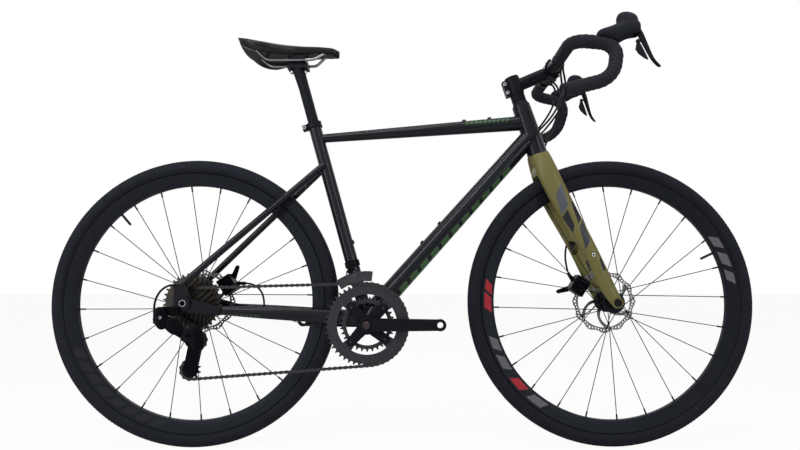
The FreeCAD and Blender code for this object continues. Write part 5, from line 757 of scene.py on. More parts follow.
def make_tyre(name, hub, body):
    """Rings of the section turned about the axle, with an inner wall that closes at the beads."""
    turn = round_steps(TYRE_STEPS)[:, None]
    outer = np.linspace(-BEAD_ANGLE, BEAD_ANGLE, OUTER_POINTS)
    inner = np.linspace(BEAD_ANGLE, -BEAD_ANGLE, INNER_POINTS)
    section = np.concatenate([outer, inner])[None, :]
    is_outer = (np.arange(section.size) < outer.size)[None, :]
    reach = np.where(is_outer, TYRE_BASE + tread_height(turn, section), TYRE_WALL)
    ring = TYRE_CENTRE_RADIUS + reach * np.cos(np.radians(section))
    flat = hub[[0, 2]] + ring[..., None] * circle(turn)
    tyre = add_surface(name, upright(flat, reach * np.sin(np.radians(section))), wrap_rows=True)
    return dress(tyre, tyre_rubber, body, "tyre_rubber", body.split("_")[0] + "_tyre")


for name, hub, body in (("front_tread", front_hub, "front_wheel"), ("rear_tread", rear_hub, "rear_wheel")):
    tyre = make_tyre(name, hub, body)
    print(name, len(tyre.data.polygons), "faces")

# %% [markdown]
# ## Chain
# A chain is pairs of waisted side plates on pins one pitch apart, narrow and wide pairs in turn.
# Its line wraps four toothed wheels: each straight run is the tangent of two neighbours, and the
# pins are laid along that line by length, so every roller falls between two teeth.

# %% Chain line
CHAIN_PITCH = 0.0127
CHAIN_LINKS = 114
PULLEYS = ("guide_wheel_spin", "tension_wheel_spin")
guide_centre, tension_centre = (np.array(joints[name]["pos_m"]) for name in PULLEYS)
CHAIN_PLANE = guide_centre[1]
CHAIN_WHEELS = ((rear_hub, 17, 1), (crank_centre, 48, 1), (tension_centre, 11, 1), (guide_centre, 11, -1))


def pitch_radius(teeth):
    """Radius of the pins on a wheel: half a pitch over the sine of half a tooth's angle."""
    return CHAIN_PITCH / (2 * math.sin(math.pi / teeth))


def chain_headings():
    """The heading of each run: the line of centres turned by the wheels' difference in radius."""
    headings = []
    neighbours = zip(CHAIN_WHEELS, CHAIN_WHEELS[1:] + CHAIN_WHEELS[:1])
    for (here, teeth, sense), (there, next_teeth, next_sense) in neighbours:
        span = there - here
        offset = next_sense * pitch_radius(next_teeth) - sense * pitch_radius(teeth)
        headings.append(math.atan2(span[2], span[0]) + math.asin(offset / math.hypot(span[0], span[2])))
    return headings


def touch_point(wheel, heading):
    """Where the chain lies on a wheel when it runs in a heading: a radius to its side."""
    centre, teeth, sense = wheel
    right = np.stack([np.sin(heading), -np.cos(heading)], -1)
    return centre[[0, 2]] - right * (sense * pitch_radius(teeth))


def chain_pins():
    """Pin places one pitch apart: an arc on each wheel, then the straight run to the next."""
    headings = chain_headings()
    pins = []
    travelled = 0.0
    for index, wheel in enumerate(CHAIN_WHEELS):
        teeth, sense = wheel[1:]
        arriving, leaving = headings[index - 1], headings[index]
        arc_links = ((arriving - leaving) * sense) % (2 * math.pi) * teeth / (2 * math.pi)
        count = np.arange(math.ceil(travelled) - travelled, arc_links)
        pins.append(touch_point(wheel, arriving - sense * count * 2 * math.pi / teeth))
        travelled += arc_links
        next_wheel = CHAIN_WHEELS[(index + 1) % len(CHAIN_WHEELS)]
        start, end = touch_point(wheel, leaving), touch_point(next_wheel, leaving)
        run_links = np.linalg.norm(end - start) / CHAIN_PITCH
        count = np.arange(math.ceil(travelled) - travelled, run_links)
        pins.append(start + (end - start) * (count / run_links)[:, None])
        travelled += run_links
    return np.concatenate(pins)[:CHAIN_LINKS]


pins = chain_pins()
print("chain:", len(pins), "pins")

# %% Chain links
PLATE_HALF_HEIGHT = 0.0041
PLATE_WAIST = 0.0028
WAIST_SHARE = 0.32
INNER_PLATES = (0.00122, 0.00182)
OUTER_PLATES = (0.00188, 0.00248)
PIN_RADIUS, PIN_END = 0.0017, 0.00272
ROLLER_RADIUS, ROLLER_GAP = 0.00375, 0.00004


def plate_outline(points=22):
    """A figure of eight: two round ends joined by a waist, as height over distance along the link."""
    angle = round_steps(points)
    along = np.cos(angle) * (0.5 * CHAIN_PITCH + PLATE_HALF_HEIGHT)
    past = np.clip(np.abs(along) - 0.5 * CHAIN_PITCH, -0.5 * CHAIN_PITCH, None)
    widening = np.clip(1 + past / (WAIST_SHARE * CHAIN_PITCH), 0, 1)
    near_end = PLATE_WAIST + (PLATE_HALF_HEIGHT - PLATE_WAIST) * widening
    round_end = np.sqrt(np.clip(PLATE_HALF_HEIGHT ** 2 - np.clip(past, 0, None) ** 2, 0, None))
    return along, np.sign(np.sin(angle)) * np.minimum(near_end, round_end)


def prisms(flat, low, high):
    """Flat outlines, one in each row, drawn out between two distances from the chain's plane."""
    count, corners = flat.shape[:2]
    points = np.stack([upright(flat, CHAIN_PLANE + side) for side in (low, high)], 1)
    base = np.arange(corners)
    after = (base + 1) % corners
    wall = np.stack([base, base + corners, after + corners, after], -1)
    offsets = np.arange(count) * 2 * corners
    faces = (offsets[:, None, None] + wall[None]).reshape(-1, 4).tolist()
    faces += (offsets[:, None] + base[None]).tolist()
    faces += (offsets[:, None] + base[None, ::-1] + corners).tolist()
    return points.reshape(-1, 3), faces


def link_plates(starts, ends, near, far):
    """Prisms of the plate outline set between pairs of pins, from one sideways face to the other."""
    middle = (starts + ends) / 2
    heading = unit(ends - starts)
    rise = np.stack([-heading[:, 1], heading[:, 0]], -1)
    along, height = plate_outline()
    flat = middle[:, None] + heading[:, None] * along[None, :, None] + rise[:, None] * height[None, :, None]
    return prisms(flat, min(near, far), max(near, far))


def pin_rods(places, radius, half_length, sides=12):
    """Short rods across the chain at every pin."""
    return prisms(places[:, None] + radius * circle(round_steps(sides)), -half_length, half_length)


next_pins = np.roll(pins, -1, axis=0)
plates = []
for pair, (near, far) in ((0, INNER_PLATES), (1, OUTER_PLATES)):
    for side in (-1, 1):
        plates.append(link_plates(pins[pair::2], next_pins[pair::2], side * near, side * far))
chain_plates = add_mesh("chain_plates", *joined(plates), smooth=False)
dress(chain_plates, chain_steel, "frame", "dark_steel", "chain")
rods = [pin_rods(pins, ROLLER_RADIUS, INNER_PLATES[0] - ROLLER_GAP), pin_rods(pins, PIN_RADIUS, PIN_END)]
rollers = add_mesh("chain_rollers", *joined(rods), smooth=False)
dress(rollers, chain_steel, "frame", "dark_steel")
print("chain plates", len(chain_plates.data.polygons), "faces")

# %% [markdown]
# ## Bar tape
# Cork tape is wound from the bar's end to its top, each turn lapping the last. The bar's line is
# straight runs and arcs; the tape's radius is a saw tooth of distance plus angle, which winds.

# %% Bar tape
BAR_CENTRE = np.array([0.370542, 0.0, 0.926946])
BAR_CORNERS = np.array([[0.0, 0.064, 0.0], [0.0, 0.185, 0.0], [0.094, 0.199, -0.015],
                        [0.074, 0.226, -0.099], [-0.036, 0.240, -0.131]])
BAR_BENDS = (0.038, 0.034, 0.066)
TAPE_PITCH = 0.0125
TAPE_LOW, TAPE_HIGH = 0.01395, 0.01495
CLIMB_SHARE = 0.88
TAPE_SIDES, PLUG_SIDES = 48, 40
PLUG_PROFILE = ((-0.004, 0.0145), (0.0, 0.0148), (0.0022, 0.0146), (0.0034, 0.0128),
                (0.0036, 0.006), (0.0030, 0.0055), (0.0030, 0.001))
BAND_PROFILE = ((-0.001, 0.0122), (-0.001, 0.0152), (0.0, 0.01535), (0.011, 0.01535), (0.012, 0.0150))
SIDES = ((-1, "right"), (1, "left"))


def tape_finish():
    """Dark cool grey cork with a fine felt grain."""
    finish = Finish("tape_cork", Specular_IOR_Level=0.09, Specular_Tint=COOL)
    spot = finish.place()
    finish.colour(finish.mottle(spot, 55.0, TONES["tape_cork"]))
    finish.uneven(finish.noise(spot, scale=200.0), 0.66, 0.8)
    finish.bump(finish.noise(spot, scale=1500.0), depth=0.00012)
    return finish


def bar_line(side, step=0.001):
    """The taped part of one half of the bar."""
    return rounded_path(BAR_CENTRE + BAR_CORNERS * np.array([1, side, 1]), BAR_BENDS, step)


def wound(side):
    """Radius of lapped tape: it climbs through each turn and drops at the edge."""
    def radius(length, angle):
        turn = (length / TAPE_PITCH + side * angle / (2 * math.pi)) % 1.0
        climb = np.where(turn < CLIMB_SHARE, turn / CLIMB_SHARE, (1 - turn) / (1 - CLIMB_SHARE))
        return TAPE_LOW + (TAPE_HIGH - TAPE_LOW) * climb
    return radius


tape_cork = tape_finish()
for side, label in SIDES:
    wrap = add_surface(label + "_tape", tube_grid(bar_line(side), (1, 0, 0), wound(side), TAPE_SIDES))
    dress(wrap, tape_cork, "steering_body", "soft_rubber", "bar_tape")
    print(label, "tape", len(wrap.data.polygons), "faces")
for side, label in SIDES:
    line = bar_line(side)
    end_way = line[-1] - line[-2]
    plug = add_surface(label + "_bar_plug", lathe_grid(line[-1], end_way, PLUG_PROFILE, PLUG_SIDES))
    dress(plug, plastic_black, "steering_body", "black_plastic")
    band = add_surface(label + "_tape_band", lathe_grid(line[0], line[1] - line[0], BAND_PROFILE, TAPE_SIDES))
    dress(band, plastic_black, "steering_body", "black_plastic")

# %% [markdown]
# ## Saddle
# A firm foam pad under a taut cover on a thin glossy shell. Each station from tail to nose has a
# half width and the heights of its crown, its edge and the lower rim of its skirt. The wings droop
# beside the rider and rise to two sharp corners at the tail.

# %% Saddle shape
SADDLE_TAIL_X, SADDLE_NOSE_X = -0.397, -0.160
SADDLE_STATIONS = np.array([
    (0.00, 0.0590, 0.9900, 0.9868, 0.9825), (0.08, 0.0665, 0.9898, 0.9820, 0.9670),
    (0.16, 0.0695, 0.9892, 0.9775, 0.9580), (0.25, 0.0685, 0.9884, 0.9735, 0.9535),
    (0.40, 0.0530, 0.9872, 0.9715, 0.9545), (0.60, 0.0310, 0.9862, 0.9765, 0.9620),
    (0.82, 0.0205, 0.9850, 0.9800, 0.9680), (0.94, 0.0175, 0.9825, 0.9775, 0.9675),
    (1.00, 0.0160, 0.9770, 0.9735, 0.9690)])
PAD_DEPTH = 0.017
CROWN_POWER = 2.4
FLANK_BULGE = 0.05
SKIRT_DRAW = 0.13
NOSE_START, NOSE_REACH, NOSE_LEAST = 0.92, 0.081, 0.02
CHANNEL_START, CHANNEL_SHARE = 0.12, 0.62
CHANNEL_HALF_WIDTH, CHANNEL_DEPTH = 0.0085, 0.0032
SHELL_SKIN, SHELL_GAP = 0.0024, 0.0002
SHELL_WIDTH_SHARE, SHELL_END_INSET = 0.97, 0.004
TOP_POINTS, FLANK_POINTS, BELOW_POINTS, SHELL_POINTS = 49, 10, 27, 33


def saddle_stations(rows):
    """Distance along, half width, crown, edge and skirt at each row, with a rounded nose."""
    share = eased(rows)
    half, crown, edge, skirt = (smooth_through(SADDLE_STATIONS[:, 0], SADDLE_STATIONS[:, k], share)[:, None]
                                for k in range(1, 5))
    over = np.clip(share - NOSE_START, 0, None) / NOSE_REACH
    nose = np.sqrt(np.clip(1 - over ** 2, NOSE_LEAST, 1))[:, None]
    x = (SADDLE_TAIL_X + (SADDLE_NOSE_X - SADDLE_TAIL_X) * share)[:, None]
    return x, half * nose, crown, edge, skirt, share[:, None]


def underside(v, crown, skirt):
    """Height below the pad at a share across, from the skirt's rim up to the foam's belly."""
    return skirt + (crown - PAD_DEPTH - skirt) * (1 - np.abs(v / (1 - SKIRT_DRAW)) ** 3)


def saddle_grid(rows=150):
    """Crown, right flank, underside and left flank of each station as one closed section."""
    x, half, crown, edge, skirt, share = saddle_stations(rows)
    across = np.sin(np.linspace(-math.pi / 2, math.pi / 2, TOP_POINTS))[None, :]
    channel_length = np.clip(np.sin((share - CHANNEL_START) / CHANNEL_SHARE * math.pi), 0, 1)
    channel = np.exp(-(half * across / CHANNEL_HALF_WIDTH) ** 2) * channel_length * CHANNEL_DEPTH
    top = [half * across, edge + (crown - edge) * (1 - np.abs(across) ** CROWN_POWER) - channel]
    fall = np.linspace(0, 1, FLANK_POINTS)[None, 1:]
    bulge = FLANK_BULGE * np.sin(math.pi * fall)
    flank = [half * (1 + bulge - SKIRT_DRAW * fall), edge + (skirt - edge) * fall]
    v = np.linspace(1 - SKIRT_DRAW, SKIRT_DRAW - 1, BELOW_POINTS)[None, 1:-1]
    below = [half * v, underside(v, crown, skirt)]
    y = np.concatenate([top[0], flank[0], below[0], -flank[0][:, ::-1]], 1)
    z = np.concatenate([top[1], flank[1], below[1], flank[1][:, ::-1]], 1)
    return np.stack([np.broadcast_to(x, y.shape), y, z], -1)


def shell_grid(rows=110):
    """The thin shell that carries the foam: the underside and the same again a skin lower."""
    x, half, crown, _, skirt, _ = saddle_stations(rows)
    widest = SHELL_WIDTH_SHARE - SKIRT_DRAW
    v = np.linspace(-widest, widest, SHELL_POINTS)[None, :]
    high = underside(v, crown, skirt) - SHELL_GAP
    y = np.concatenate([half * v, half * v[:, ::-1]], 1)
    z = np.concatenate([high, high[:, ::-1] - SHELL_SKIN], 1)
    x = np.clip(x, SADDLE_TAIL_X + SHELL_END_INSET, SADDLE_NOSE_X - SHELL_END_INSET)
    return np.stack([np.broadcast_to(x, y.shape), y, z], -1)


# %% Saddle cover and shell
DULL_FROM, DULL_TO = 0.965, 0.985


def saddle_leather():
    """Smooth black cover with a fine pebble, duller on top than at the flanks."""
    finish = Finish("saddle_leather", Specular_IOR_Level=0.2)
    spot = finish.place()
    height = finish.axes(spot)[2]
    finish.colour(finish.mottle(spot, 35.0, TONES["saddle_leather"]))
    finish.roughness(finish.stretch(height, DULL_FROM, DULL_TO, 0.26, 0.46))
    finish.bump(finish.cells(spot, scale=1400.0), depth=0.00006)
    return finish


cover = add_surface("saddle_pad", saddle_grid())
dress(cover, saddle_leather(), "seatpost_body", "saddle_leather", "saddle_cover")
shell = add_surface("saddle_pan", shell_grid())
dress(shell, saddle_gloss, "seatpost_body", "black_plastic", "saddle_shell")
print("saddle pad", len(cover.data.polygons), "faces, shell", len(shell.data.polygons))

# %% [markdown]
# ## Cable housings
# Stiff black housings leave the tape beside the stem and enter the down tube, the fork and the
# stays. Each is one smooth curve led by a few points. Those that cross from the bar to the frame
# ride on no body and stay where they are.

# %% Cable housings
HOUSING_DIAMETER = 0.005
HOUSING_SIDES = 16
SLANTED_NORMAL = (0.31, 0.52, 0.79)
RIGHT_HOUSING = ((0.381, -0.0632, 0.9164), (0.383, -0.043, 0.9115), (0.389, -0.030, 0.895),
                 (0.392, -0.027, 0.872), (0.387, -0.028, 0.845), (0.373, -0.031, 0.817),
                 (0.353, -0.034, 0.790), (0.327, -0.034, 0.764), (0.299, -0.031, 0.739),
                 (0.273, -0.025, 0.715), (0.256, 0.0, 0.700))
CROSSING_HOUSING = ((0.385, -0.0632, 0.923), (0.389, -0.043, 0.917), (0.398, -0.027, 0.902),
                    (0.405, -0.014, 0.880), (0.404, -0.002, 0.856), (0.393, 0.010, 0.830),
                    (0.375, 0.021, 0.804), (0.354, 0.029, 0.779), (0.329, 0.033, 0.756),
                    (0.303, 0.031, 0.734), (0.278, 0.025, 0.713), (0.260, 0.0, 0.702))
LEFT_HOUSING = ((0.381, 0.0632, 0.9164), (0.383, 0.043, 0.9115), (0.389, 0.0305, 0.895),
                (0.390, 0.031, 0.871), (0.381, 0.035, 0.842), (0.364, 0.039, 0.814), (0.342, 0.042, 0.787),
                (0.316, 0.042, 0.761), (0.289, 0.038, 0.737), (0.264, 0.030, 0.714), (0.247, 0.003, 0.697))
FRONT_BRAKE_UPPER = ((0.385, 0.0632, 0.923), (0.389, 0.044, 0.917), (0.397, 0.033, 0.899),
                     (0.402, 0.030, 0.875), (0.400, 0.030, 0.848), (0.392, 0.031, 0.818),
                     (0.380, 0.032, 0.788), (0.367, 0.032, 0.758), (0.355, 0.029, 0.730),
                     (0.346, 0.023, 0.704))
FRONT_BRAKE_LOWER = ((0.424, 0.052, 0.512), (0.418, 0.053, 0.490), (0.415, 0.053, 0.466),
                     (0.417, 0.052, 0.444), (0.421, 0.051, 0.424))
GEAR_LOOP = ((-0.503, -0.076, 0.391), (-0.524, -0.079, 0.394), (-0.546, -0.082, 0.390),
             (-0.561, -0.0835, 0.377), (-0.570, -0.084, 0.358), (-0.5725, -0.0838, 0.339),
             (-0.5716, -0.0835, 0.321))
REAR_BRAKE_LOOP = ((-0.414, 0.0635, 0.396), (-0.3926, 0.0645, 0.396), (-0.3694, 0.061, 0.3826),
                   (-0.356, 0.056, 0.3594), (-0.355, 0.053, 0.336))


def smooth_line(name, points):
    """Points read from a smooth curve that a few given points lead."""
    curve = bpy.data.curves.new(name, "CURVE")
    curve.dimensions = "3D"
    curve.resolution_u = 8
    spline = curve.splines.new("NURBS")
    spline.points.add(len(points) - 1)
    spline.points.foreach_set("co", np.c_[np.array(points), np.ones(len(points))].ravel())
    spline.order_u = 3
    spline.use_endpoint_u = True
    holder = bpy.data.objects.new(name, curve)
    line_mesh = bpy.data.meshes.new_from_object(holder)
    line = np.zeros(len(line_mesh.vertices) * 3)
    line_mesh.vertices.foreach_get("co", line)
    bpy.data.objects.remove(holder)
    bpy.data.curves.remove(curve)
    bpy.data.meshes.remove(line_mesh)
    return line.reshape(-1, 3)


def add_housing(name, points, body, node):
    """A housing of constant thickness along its curve."""
    line = smooth_line(name, points)
    tube = add_surface(name, tube_grid(line, SLANTED_NORMAL, lambda along, angle: HOUSING_DIAMETER / 2,
                                       HOUSING_SIDES))
    tube.data.materials.append(cable_black.material)
    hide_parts(node)
    if body == "both":
        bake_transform(tube)
    else:
        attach(tube, body)
    print(name, "length", round(lengths_along(line)[-1], 4))


add_housing("right_housing", RIGHT_HOUSING, "both", "control_cables")
add_housing("crossing_housing", CROSSING_HOUSING, "both", "control_cables")
add_housing("left_housing", LEFT_HOUSING, "both", "control_cables")
add_housing("front_brake_housing_upper", FRONT_BRAKE_UPPER, "steering_body", "control_cables")
add_housing("front_brake_housing_lower", FRONT_BRAKE_LOWER, "steering_body", "control_cables")
add_housing("gear_loop", GEAR_LOOP, "frame", "rear_cables")
add_housing("rear_brake_housing", REAR_BRAKE_LOOP, "frame", "rear_cables")

# %% [markdown]
# ## Brake discs
# Each disc has twelve lobes, a large hole in every lobe and four small ones between, on curved
# arms. A plate with a hole is a ring of quads from the hole's edge to the edge of its cell, so a
# row of cells round the axle makes the drilled band with no cutting.

# %% Brake discs
DISC_LOBES, HOLES_PER_LOBE = 12, 5
DISC_INNER = 0.0655
DISC_MEAN_OUTER = 0.0775
DISC_LOBE_HEIGHT = 0.0025
DISC_HALF_THICKNESS = 0.0009
LARGE_HOLE, SMALL_HOLE = 0.0030, 0.0021
LARGE_HOLE_OUT = 0.001
HOLE_POINTS = 16
ARM_COUNT, ARM_POINTS = 6, 14
ARM_SWEEP, ARM_CURVE = 38.0, 1.4
ARM_ROOT, ARM_LAP = 0.0225, 0.0012
ARM_HALF_WIDTH, ARM_FLARE = 0.0030, 0.0016
CARRIER_PROFILE = ((-0.0022, 0.0158), (-0.0022, 0.0240), (-0.0014, 0.0248), (0.0014, 0.0248),
                   (0.0022, 0.0240), (0.0022, 0.0158), (-0.0022, 0.0158))
CARRIER_SIDES = 64
FRONT_DISC_OFFSET, REAR_DISC_OFFSET = 0.0395, 0.052


def disc_edge(angle):
    """The scalloped outer radius: highest at each lobe."""
    return DISC_MEAN_OUTER + DISC_LOBE_HEIGHT * np.cos(DISC_LOBES * angle)


def disc_band():
    """Cells round the band as flat points: the border of each and the edge of its hole."""
    cell = np.arange(DISC_LOBES * HOLES_PER_LOBE)
    is_large = cell % HOLES_PER_LOBE == 0
    step = 2 * math.pi / len(cell)
    middle = cell * step
    turn = round_steps(HOLE_POINTS) + math.pi / HOLE_POINTS
    square = circle(turn)
    square = square / np.abs(square).max(1)[:, None]
    border_angle = middle[:, None] + square[None, :, 0] * step / 2
    share = (square[None, :, 1] + 1) / 2
    border_reach = DISC_INNER + (disc_edge(border_angle) - DISC_INNER) * share
    border = border_reach[..., None] * circle(border_angle)
    hole = np.where(is_large, LARGE_HOLE, SMALL_HOLE)
    hole_reach = (DISC_INNER + disc_edge(middle)) / 2 + np.where(is_large, LARGE_HOLE_OUT, 0)
    outward = circle(middle)[:, None]
    forward = circle(middle + math.pi / 2)[:, None]
    ring = np.cos(turn)[:, None] * forward + np.sin(turn)[:, None] * outward
    return border, hole_reach[:, None, None] * outward + hole[:, None, None] * ring


def disc_points(hub, offset):
    """The band's two faces, its hole walls and its edge walls as one shell."""
    flat = hub[[0, 2]] + np.stack(disc_band(), 1)
    layers = [upright(flat, offset + height) for height in (-DISC_HALF_THICKNESS, DISC_HALF_THICKNESS)]
    points = np.stack(layers, 1).reshape(-1, 3)
    k = np.arange(HOLE_POINTS)
    after = (k + 1) % HOLE_POINTS
    low_border, low_rim, high_border, high_rim = (ring * HOLE_POINTS for ring in range(4))
    corner_turn = (k + 1) * 2 * math.pi / HOLE_POINTS
    on_edge = np.abs(np.sin(corner_turn)) >= np.abs(np.cos(corner_turn)) - 1e-6
    walls = np.stack([low_border + after, low_border + k, high_border + k, high_border + after], -1)
    local = np.concatenate([
        np.stack([low_border + k, low_border + after, low_rim + after, low_rim + k], -1),
        np.stack([high_border + after, high_border + k, high_rim + k, high_rim + after], -1),
        np.stack([low_rim + k, low_rim + after, high_rim + after, high_rim + k], -1),
        walls[on_edge]])
    faces = np.arange(len(flat))[:, None, None] * 4 * HOLE_POINTS + local[None]
    return points, faces.reshape(-1, 4).tolist()


def strip_plate(line, half_widths, offset):
    """A flat curved bar: a line in the wheel's plane, widened both ways and given a thickness."""
    way = unit(np.gradient(line, axis=0))
    across = np.stack([-way[:, 1], way[:, 0]], -1) * half_widths[:, None]
    left, right = line + across, line - across
    section = np.stack([left, right, right, left], 1)
    return upright(section, offset + DISC_HALF_THICKNESS * np.array([-1, -1, 1, 1]))


def disc_arms(hub, offset):
    """Bars that curve from the carrier to the band."""
    share = np.linspace(0, 1, ARM_POINTS)
    reach = ARM_ROOT + (DISC_INNER + ARM_LAP - ARM_ROOT) * share
    width = ARM_HALF_WIDTH + ARM_FLARE * np.abs(share - 0.5) * 2
    faces = grid_faces(ARM_POINTS, 4, False, True).tolist()
    faces += [[3, 2, 1, 0], list(range(4 * ARM_POINTS - 4, 4 * ARM_POINTS))]
    parts = []
    for index in range(ARM_COUNT):
        angle = math.radians(index * 360 / ARM_COUNT) + math.radians(ARM_SWEEP) * share ** ARM_CURVE
        line = hub[[0, 2]] + reach[:, None] * circle(angle)
        parts.append((strip_plate(line, width, offset).reshape(-1, 3), faces))
    return joined(parts)


def make_disc(label, hub, offset, finish):
    """Band, arms and carrier of a disc on the wheel that the label names."""
    body = label + "_wheel"
    band = add_mesh(label + "_disc_band", *disc_points(hub, offset), smooth=False)
    add_modifier(band, "weld", "WELD", merge_threshold=WELD_REACH)
    dress(band, finish, body, "bright_steel", label + "_rotor")
    arms = add_mesh(label + "_disc_arms", *disc_arms(hub, offset), smooth=False)
    dress(arms, finish, body, "bright_steel")
    rings = lathe_grid((hub[0], offset, hub[2]), (0, 1, 0), CARRIER_PROFILE, CARRIER_SIDES)
    carrier = add_surface(label + "_disc_carrier", rings, caps=False)
    dress(carrier, alloy_black, body, "black_alloy")


disc_steel = turned_metal("disc_steel", front_hub, roughness=0.4)
rear_disc_steel = turned_metal("rear_disc_dark_steel", rear_hub, roughness=0.4)
make_disc("front", front_hub, FRONT_DISC_OFFSET, disc_steel)
make_disc("rear", rear_hub, REAR_DISC_OFFSET, rear_disc_steel)
print("discs made")

# %% [markdown]
# ## Bolts
# Small bright screws with hexagon sockets catch the light all over a bike. A head is a turned
# shape whose inner rings are hexagons, so one grid of rings makes the rim, the socket and its floor.

# %% Bolts
HEAD_SIDES = 36
BEVEL_SHARE, MOUTH_SHARE, FLOOR_SHARE, DEPTH_SHARE = 0.18, 0.56, 0.05, 0.6


def socket_head(face, axis, radius, height):
    """Rings of a screw head: wall, bevel, hexagonal mouth, socket wall and floor."""
    rounded = np.ones(HEAD_SIDES)
    hexagon = math.cos(math.pi / 6) / np.cos(round_steps(HEAD_SIDES) % (math.pi / 3) - math.pi / 6)
    bevel, depth = BEVEL_SHARE * radius, DEPTH_SHARE * height
    rings = ((-height, radius, rounded), (-bevel, radius, rounded), (0.0, radius - bevel, rounded),
             (0.0, MOUTH_SHARE * radius, hexagon), (-depth, MOUTH_SHARE * radius, hexagon),
             (-depth, FLOOR_SHARE * radius, hexagon))
    grid = []
    for rise, reach, outline in rings:
        ring = lathe_grid(face, axis, ((rise, 1.0),), HEAD_SIDES)[0]
        centre = ring.mean(0)
        grid.append(centre + (ring - centre) * (reach * outline)[:, None])
    points = np.array(grid).reshape(-1, 3)
    faces = grid_faces(len(rings), HEAD_SIDES, False, True).tolist()
    return points, faces + [list(range(len(points) - HEAD_SIDES, len(points)))]


def add_bolts(name, heads, finish, body, slot):
    """Several screw heads as one piece."""
    made = add_mesh(name, *joined([socket_head(*head) for head in heads]), smooth=False)
    dress(made, finish, body, slot)
    print(name, len(heads), "heads")


RIGHT, DOWN = (0.0, -1.0, 0.0), (0.0, 0.0, -1.0)
STEM_OUT = (0.9191, 0.0, 0.3939)
SMALL_HEAD = (0.0043, 0.0050)
FACEPLATE_SCREWS = ((0.38766, 0.91264), (0.37198, 0.94922))
STEERER_SCREWS = ((0.26028, 0.86973), (0.25328, 0.89101))
RING_BOLTS = ((-0.04617, 0.33789), (-0.12187, 0.33987), (-0.12187, 0.25813), (-0.04232, 0.26439))
CRANK_FACE, CAP_STAND = -0.0757, 0.0016
BOSS_STAND = 0.0052
BOSSES = ("down_tube_boss_low", "down_tube_boss_high", "seat_tube_boss", "top_tube_boss_front",
          "top_tube_boss_rear")
stem_heads = [((x, y, z), STEM_OUT) + SMALL_HEAD for x, z in FACEPLATE_SCREWS for y in (-0.015, 0.015)]
stem_heads += [((x, -0.0141, z), RIGHT) + SMALL_HEAD for x, z in STEERER_SCREWS]
stem_heads.append(((0.27063, 0.0, 0.91187), tuple(head_up), 0.0050, 0.0040))
clamp_heads = [((x, 0.0, 0.9208), DOWN, 0.0047, 0.0060) for x in (-0.2789, -0.2473)]
ring_heads = [((x, -0.0565, z), RIGHT, 0.0064, 0.0028) for x, z in RING_BOLTS]
cap_place = (crank_centre[0], CRANK_FACE - CAP_STAND, crank_centre[2])
front_axle_end = (front_hub[0], -0.0612, front_hub[2])
rear_axle_end = (rear_hub[0], -0.0842, rear_hub[2])
boss_heads = []
for mount in frame["record"]["mounts"]:
    if mount["name"] in BOSSES:
        way = np.array(mount["axis"])
        boss_heads.append((np.array(mount["pos_m"]) + way * BOSS_STAND, tuple(way), 0.0042, 0.0042))
BOLTS = (
    ("stem_screws", stem_heads, bolt_steel, "steering_body", "bright_steel"),
    ("seat_clamp_screw", [((-0.2452, -0.0116, 0.7817), RIGHT, 0.0046, 0.0056)], bolt_steel, "frame",
     "bright_steel"),
    ("saddle_clamp_screws", clamp_heads, bolt_steel, "seatpost_body", "bright_steel"),
    ("chainring_screws", ring_heads, alloy_black, "crankset", "black_alloy"),
    ("crank_cap", [(cap_place, RIGHT, 0.0088, 0.0030)], cap_grey, "crankset", "bright_steel"),
    ("axle_sockets", [(front_axle_end, RIGHT, 0.0094, 0.0034)], alloy_black, "steering_body", "black_alloy"),
    ("rear_axle_sockets", [(rear_axle_end, RIGHT, 0.0058, 0.0046)], mech_black, "frame", "black_alloy"),
    ("hanger_screw", [((-0.5190, -0.0872, 0.3320), RIGHT, 0.0056, 0.0030)], bolt_steel, "frame",
     "bright_steel"),
    ("limit_screw", [((-0.5480, -0.1082, 0.3190), RIGHT, 0.0036, 0.0030)], rail_steel, "frame",
     "bright_steel"),
    ("boss_screws", boss_heads, bolt_steel, "frame", "bright_steel"))
for bolt_row in BOLTS:
    add_bolts(*bolt_row)

# %% [markdown]
# ## Covers of the gear mechanism
# The rear mechanism is a handful of rounded black lumps. Each cover is an oval section carried along
# a line in the plane of the wheels, with rounded ends, and rides the body of the solid that it covers.

# %% Covers and small rings
CLOSING_LEAST = 0.0004
OVAL_POWER = 0.8
RING_SIDES = 40
RING_BEVEL_SHARE = 0.3


def oval(wave):
    """A sine or cosine made fuller towards its ends, so that a circle becomes a rounded square."""
    return np.sign(wave) * np.abs(wave) ** OVAL_POWER


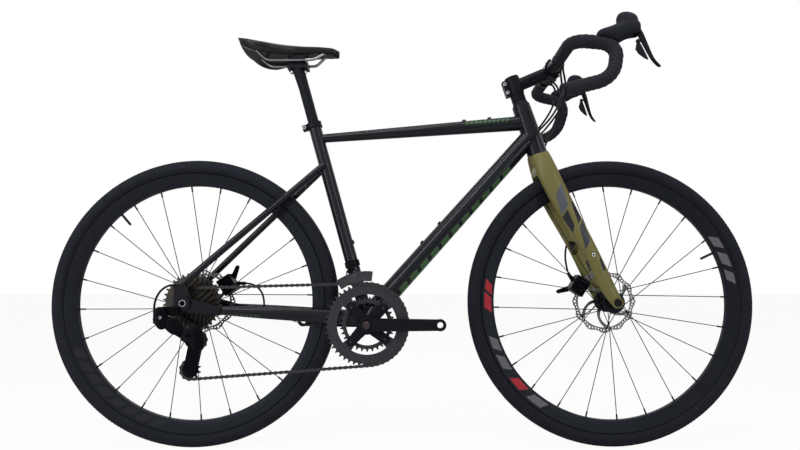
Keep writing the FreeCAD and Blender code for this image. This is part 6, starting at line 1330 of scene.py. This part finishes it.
def pebble_grid(start, end, half_widths, middle, depth, rows=36, columns=32):
    """Oval sections from start to end; widths follow a smooth curve and close in a round at each end."""
    start, end = np.array(start), np.array(end)
    share = eased(rows)
    widths = smooth_through(np.linspace(0, 1, len(half_widths)), np.array(half_widths), share)
    way = unit(end - start)
    across = np.array([-way[1], way[0]])
    reach = max(half_widths)
    length = np.linalg.norm(end - start) + 2 * reach
    along = share * length
    over = np.clip(np.maximum(reach - along, along - length + reach) / reach, 0, 1)
    closing = np.sqrt(np.clip(1 - over ** 2, CLOSING_LEAST, 1))[:, None]
    angle = round_steps(columns)[None, :]
    side = widths[:, None] * closing * oval(np.cos(angle))
    rise = depth * closing ** 0.5 * oval(np.sin(angle))
    flat = (start - way * reach)[None, None] + along[:, None, None] * way + side[..., None] * across
    return upright(flat, middle + rise)


COVERS = (
    ("frame_knuckle_cover", "frame",
     (-0.551, 0.329), (-0.546, 0.306), (0.012, 0.0145, 0.013), -0.1025, 0.0044),
    ("outer_link_cover", "mech_outer_link",
     (-0.523, 0.3025), (-0.515, 0.2965), (0.016, 0.018, 0.016), -0.1000, 0.0046),
    ("cage_knuckle_cover", "mech_knuckle",
     (-0.470, 0.287), (-0.465, 0.258), (0.013, 0.0160, 0.013), -0.0980, 0.0056))
for name, body, *shape in COVERS:
    lump = add_surface(name, pebble_grid(*shape))
    dress(lump, mech_black, body, "black_alloy")


def add_ring(name, face, outer, inner, height, finish, body):
    """A turned steel ring that stands on a surface on the chain side."""
    bevel = RING_BEVEL_SHARE * height
    profile = ((-height, inner), (-height, outer), (-bevel, outer), (0.0, 0.5 * (outer + inner)),
               (-bevel, inner), (-height, inner))
    ring = add_surface(name, lathe_grid(face, RIGHT, profile, RING_SIDES), caps=False)
    dress(ring, finish, body, "bright_steel")


add_ring("fork_boss_ring", (0.4508, -0.0634, 0.4631), 0.0046, 0.0024, 0.0022, bolt_steel, "steering_body")
add_ring("rear_axle_ring", (rear_hub[0], -0.0850, rear_hub[2]), 0.0082, 0.0060, 0.0024, rail_steel, "frame")
print("covers", len(COVERS), "and two rings")
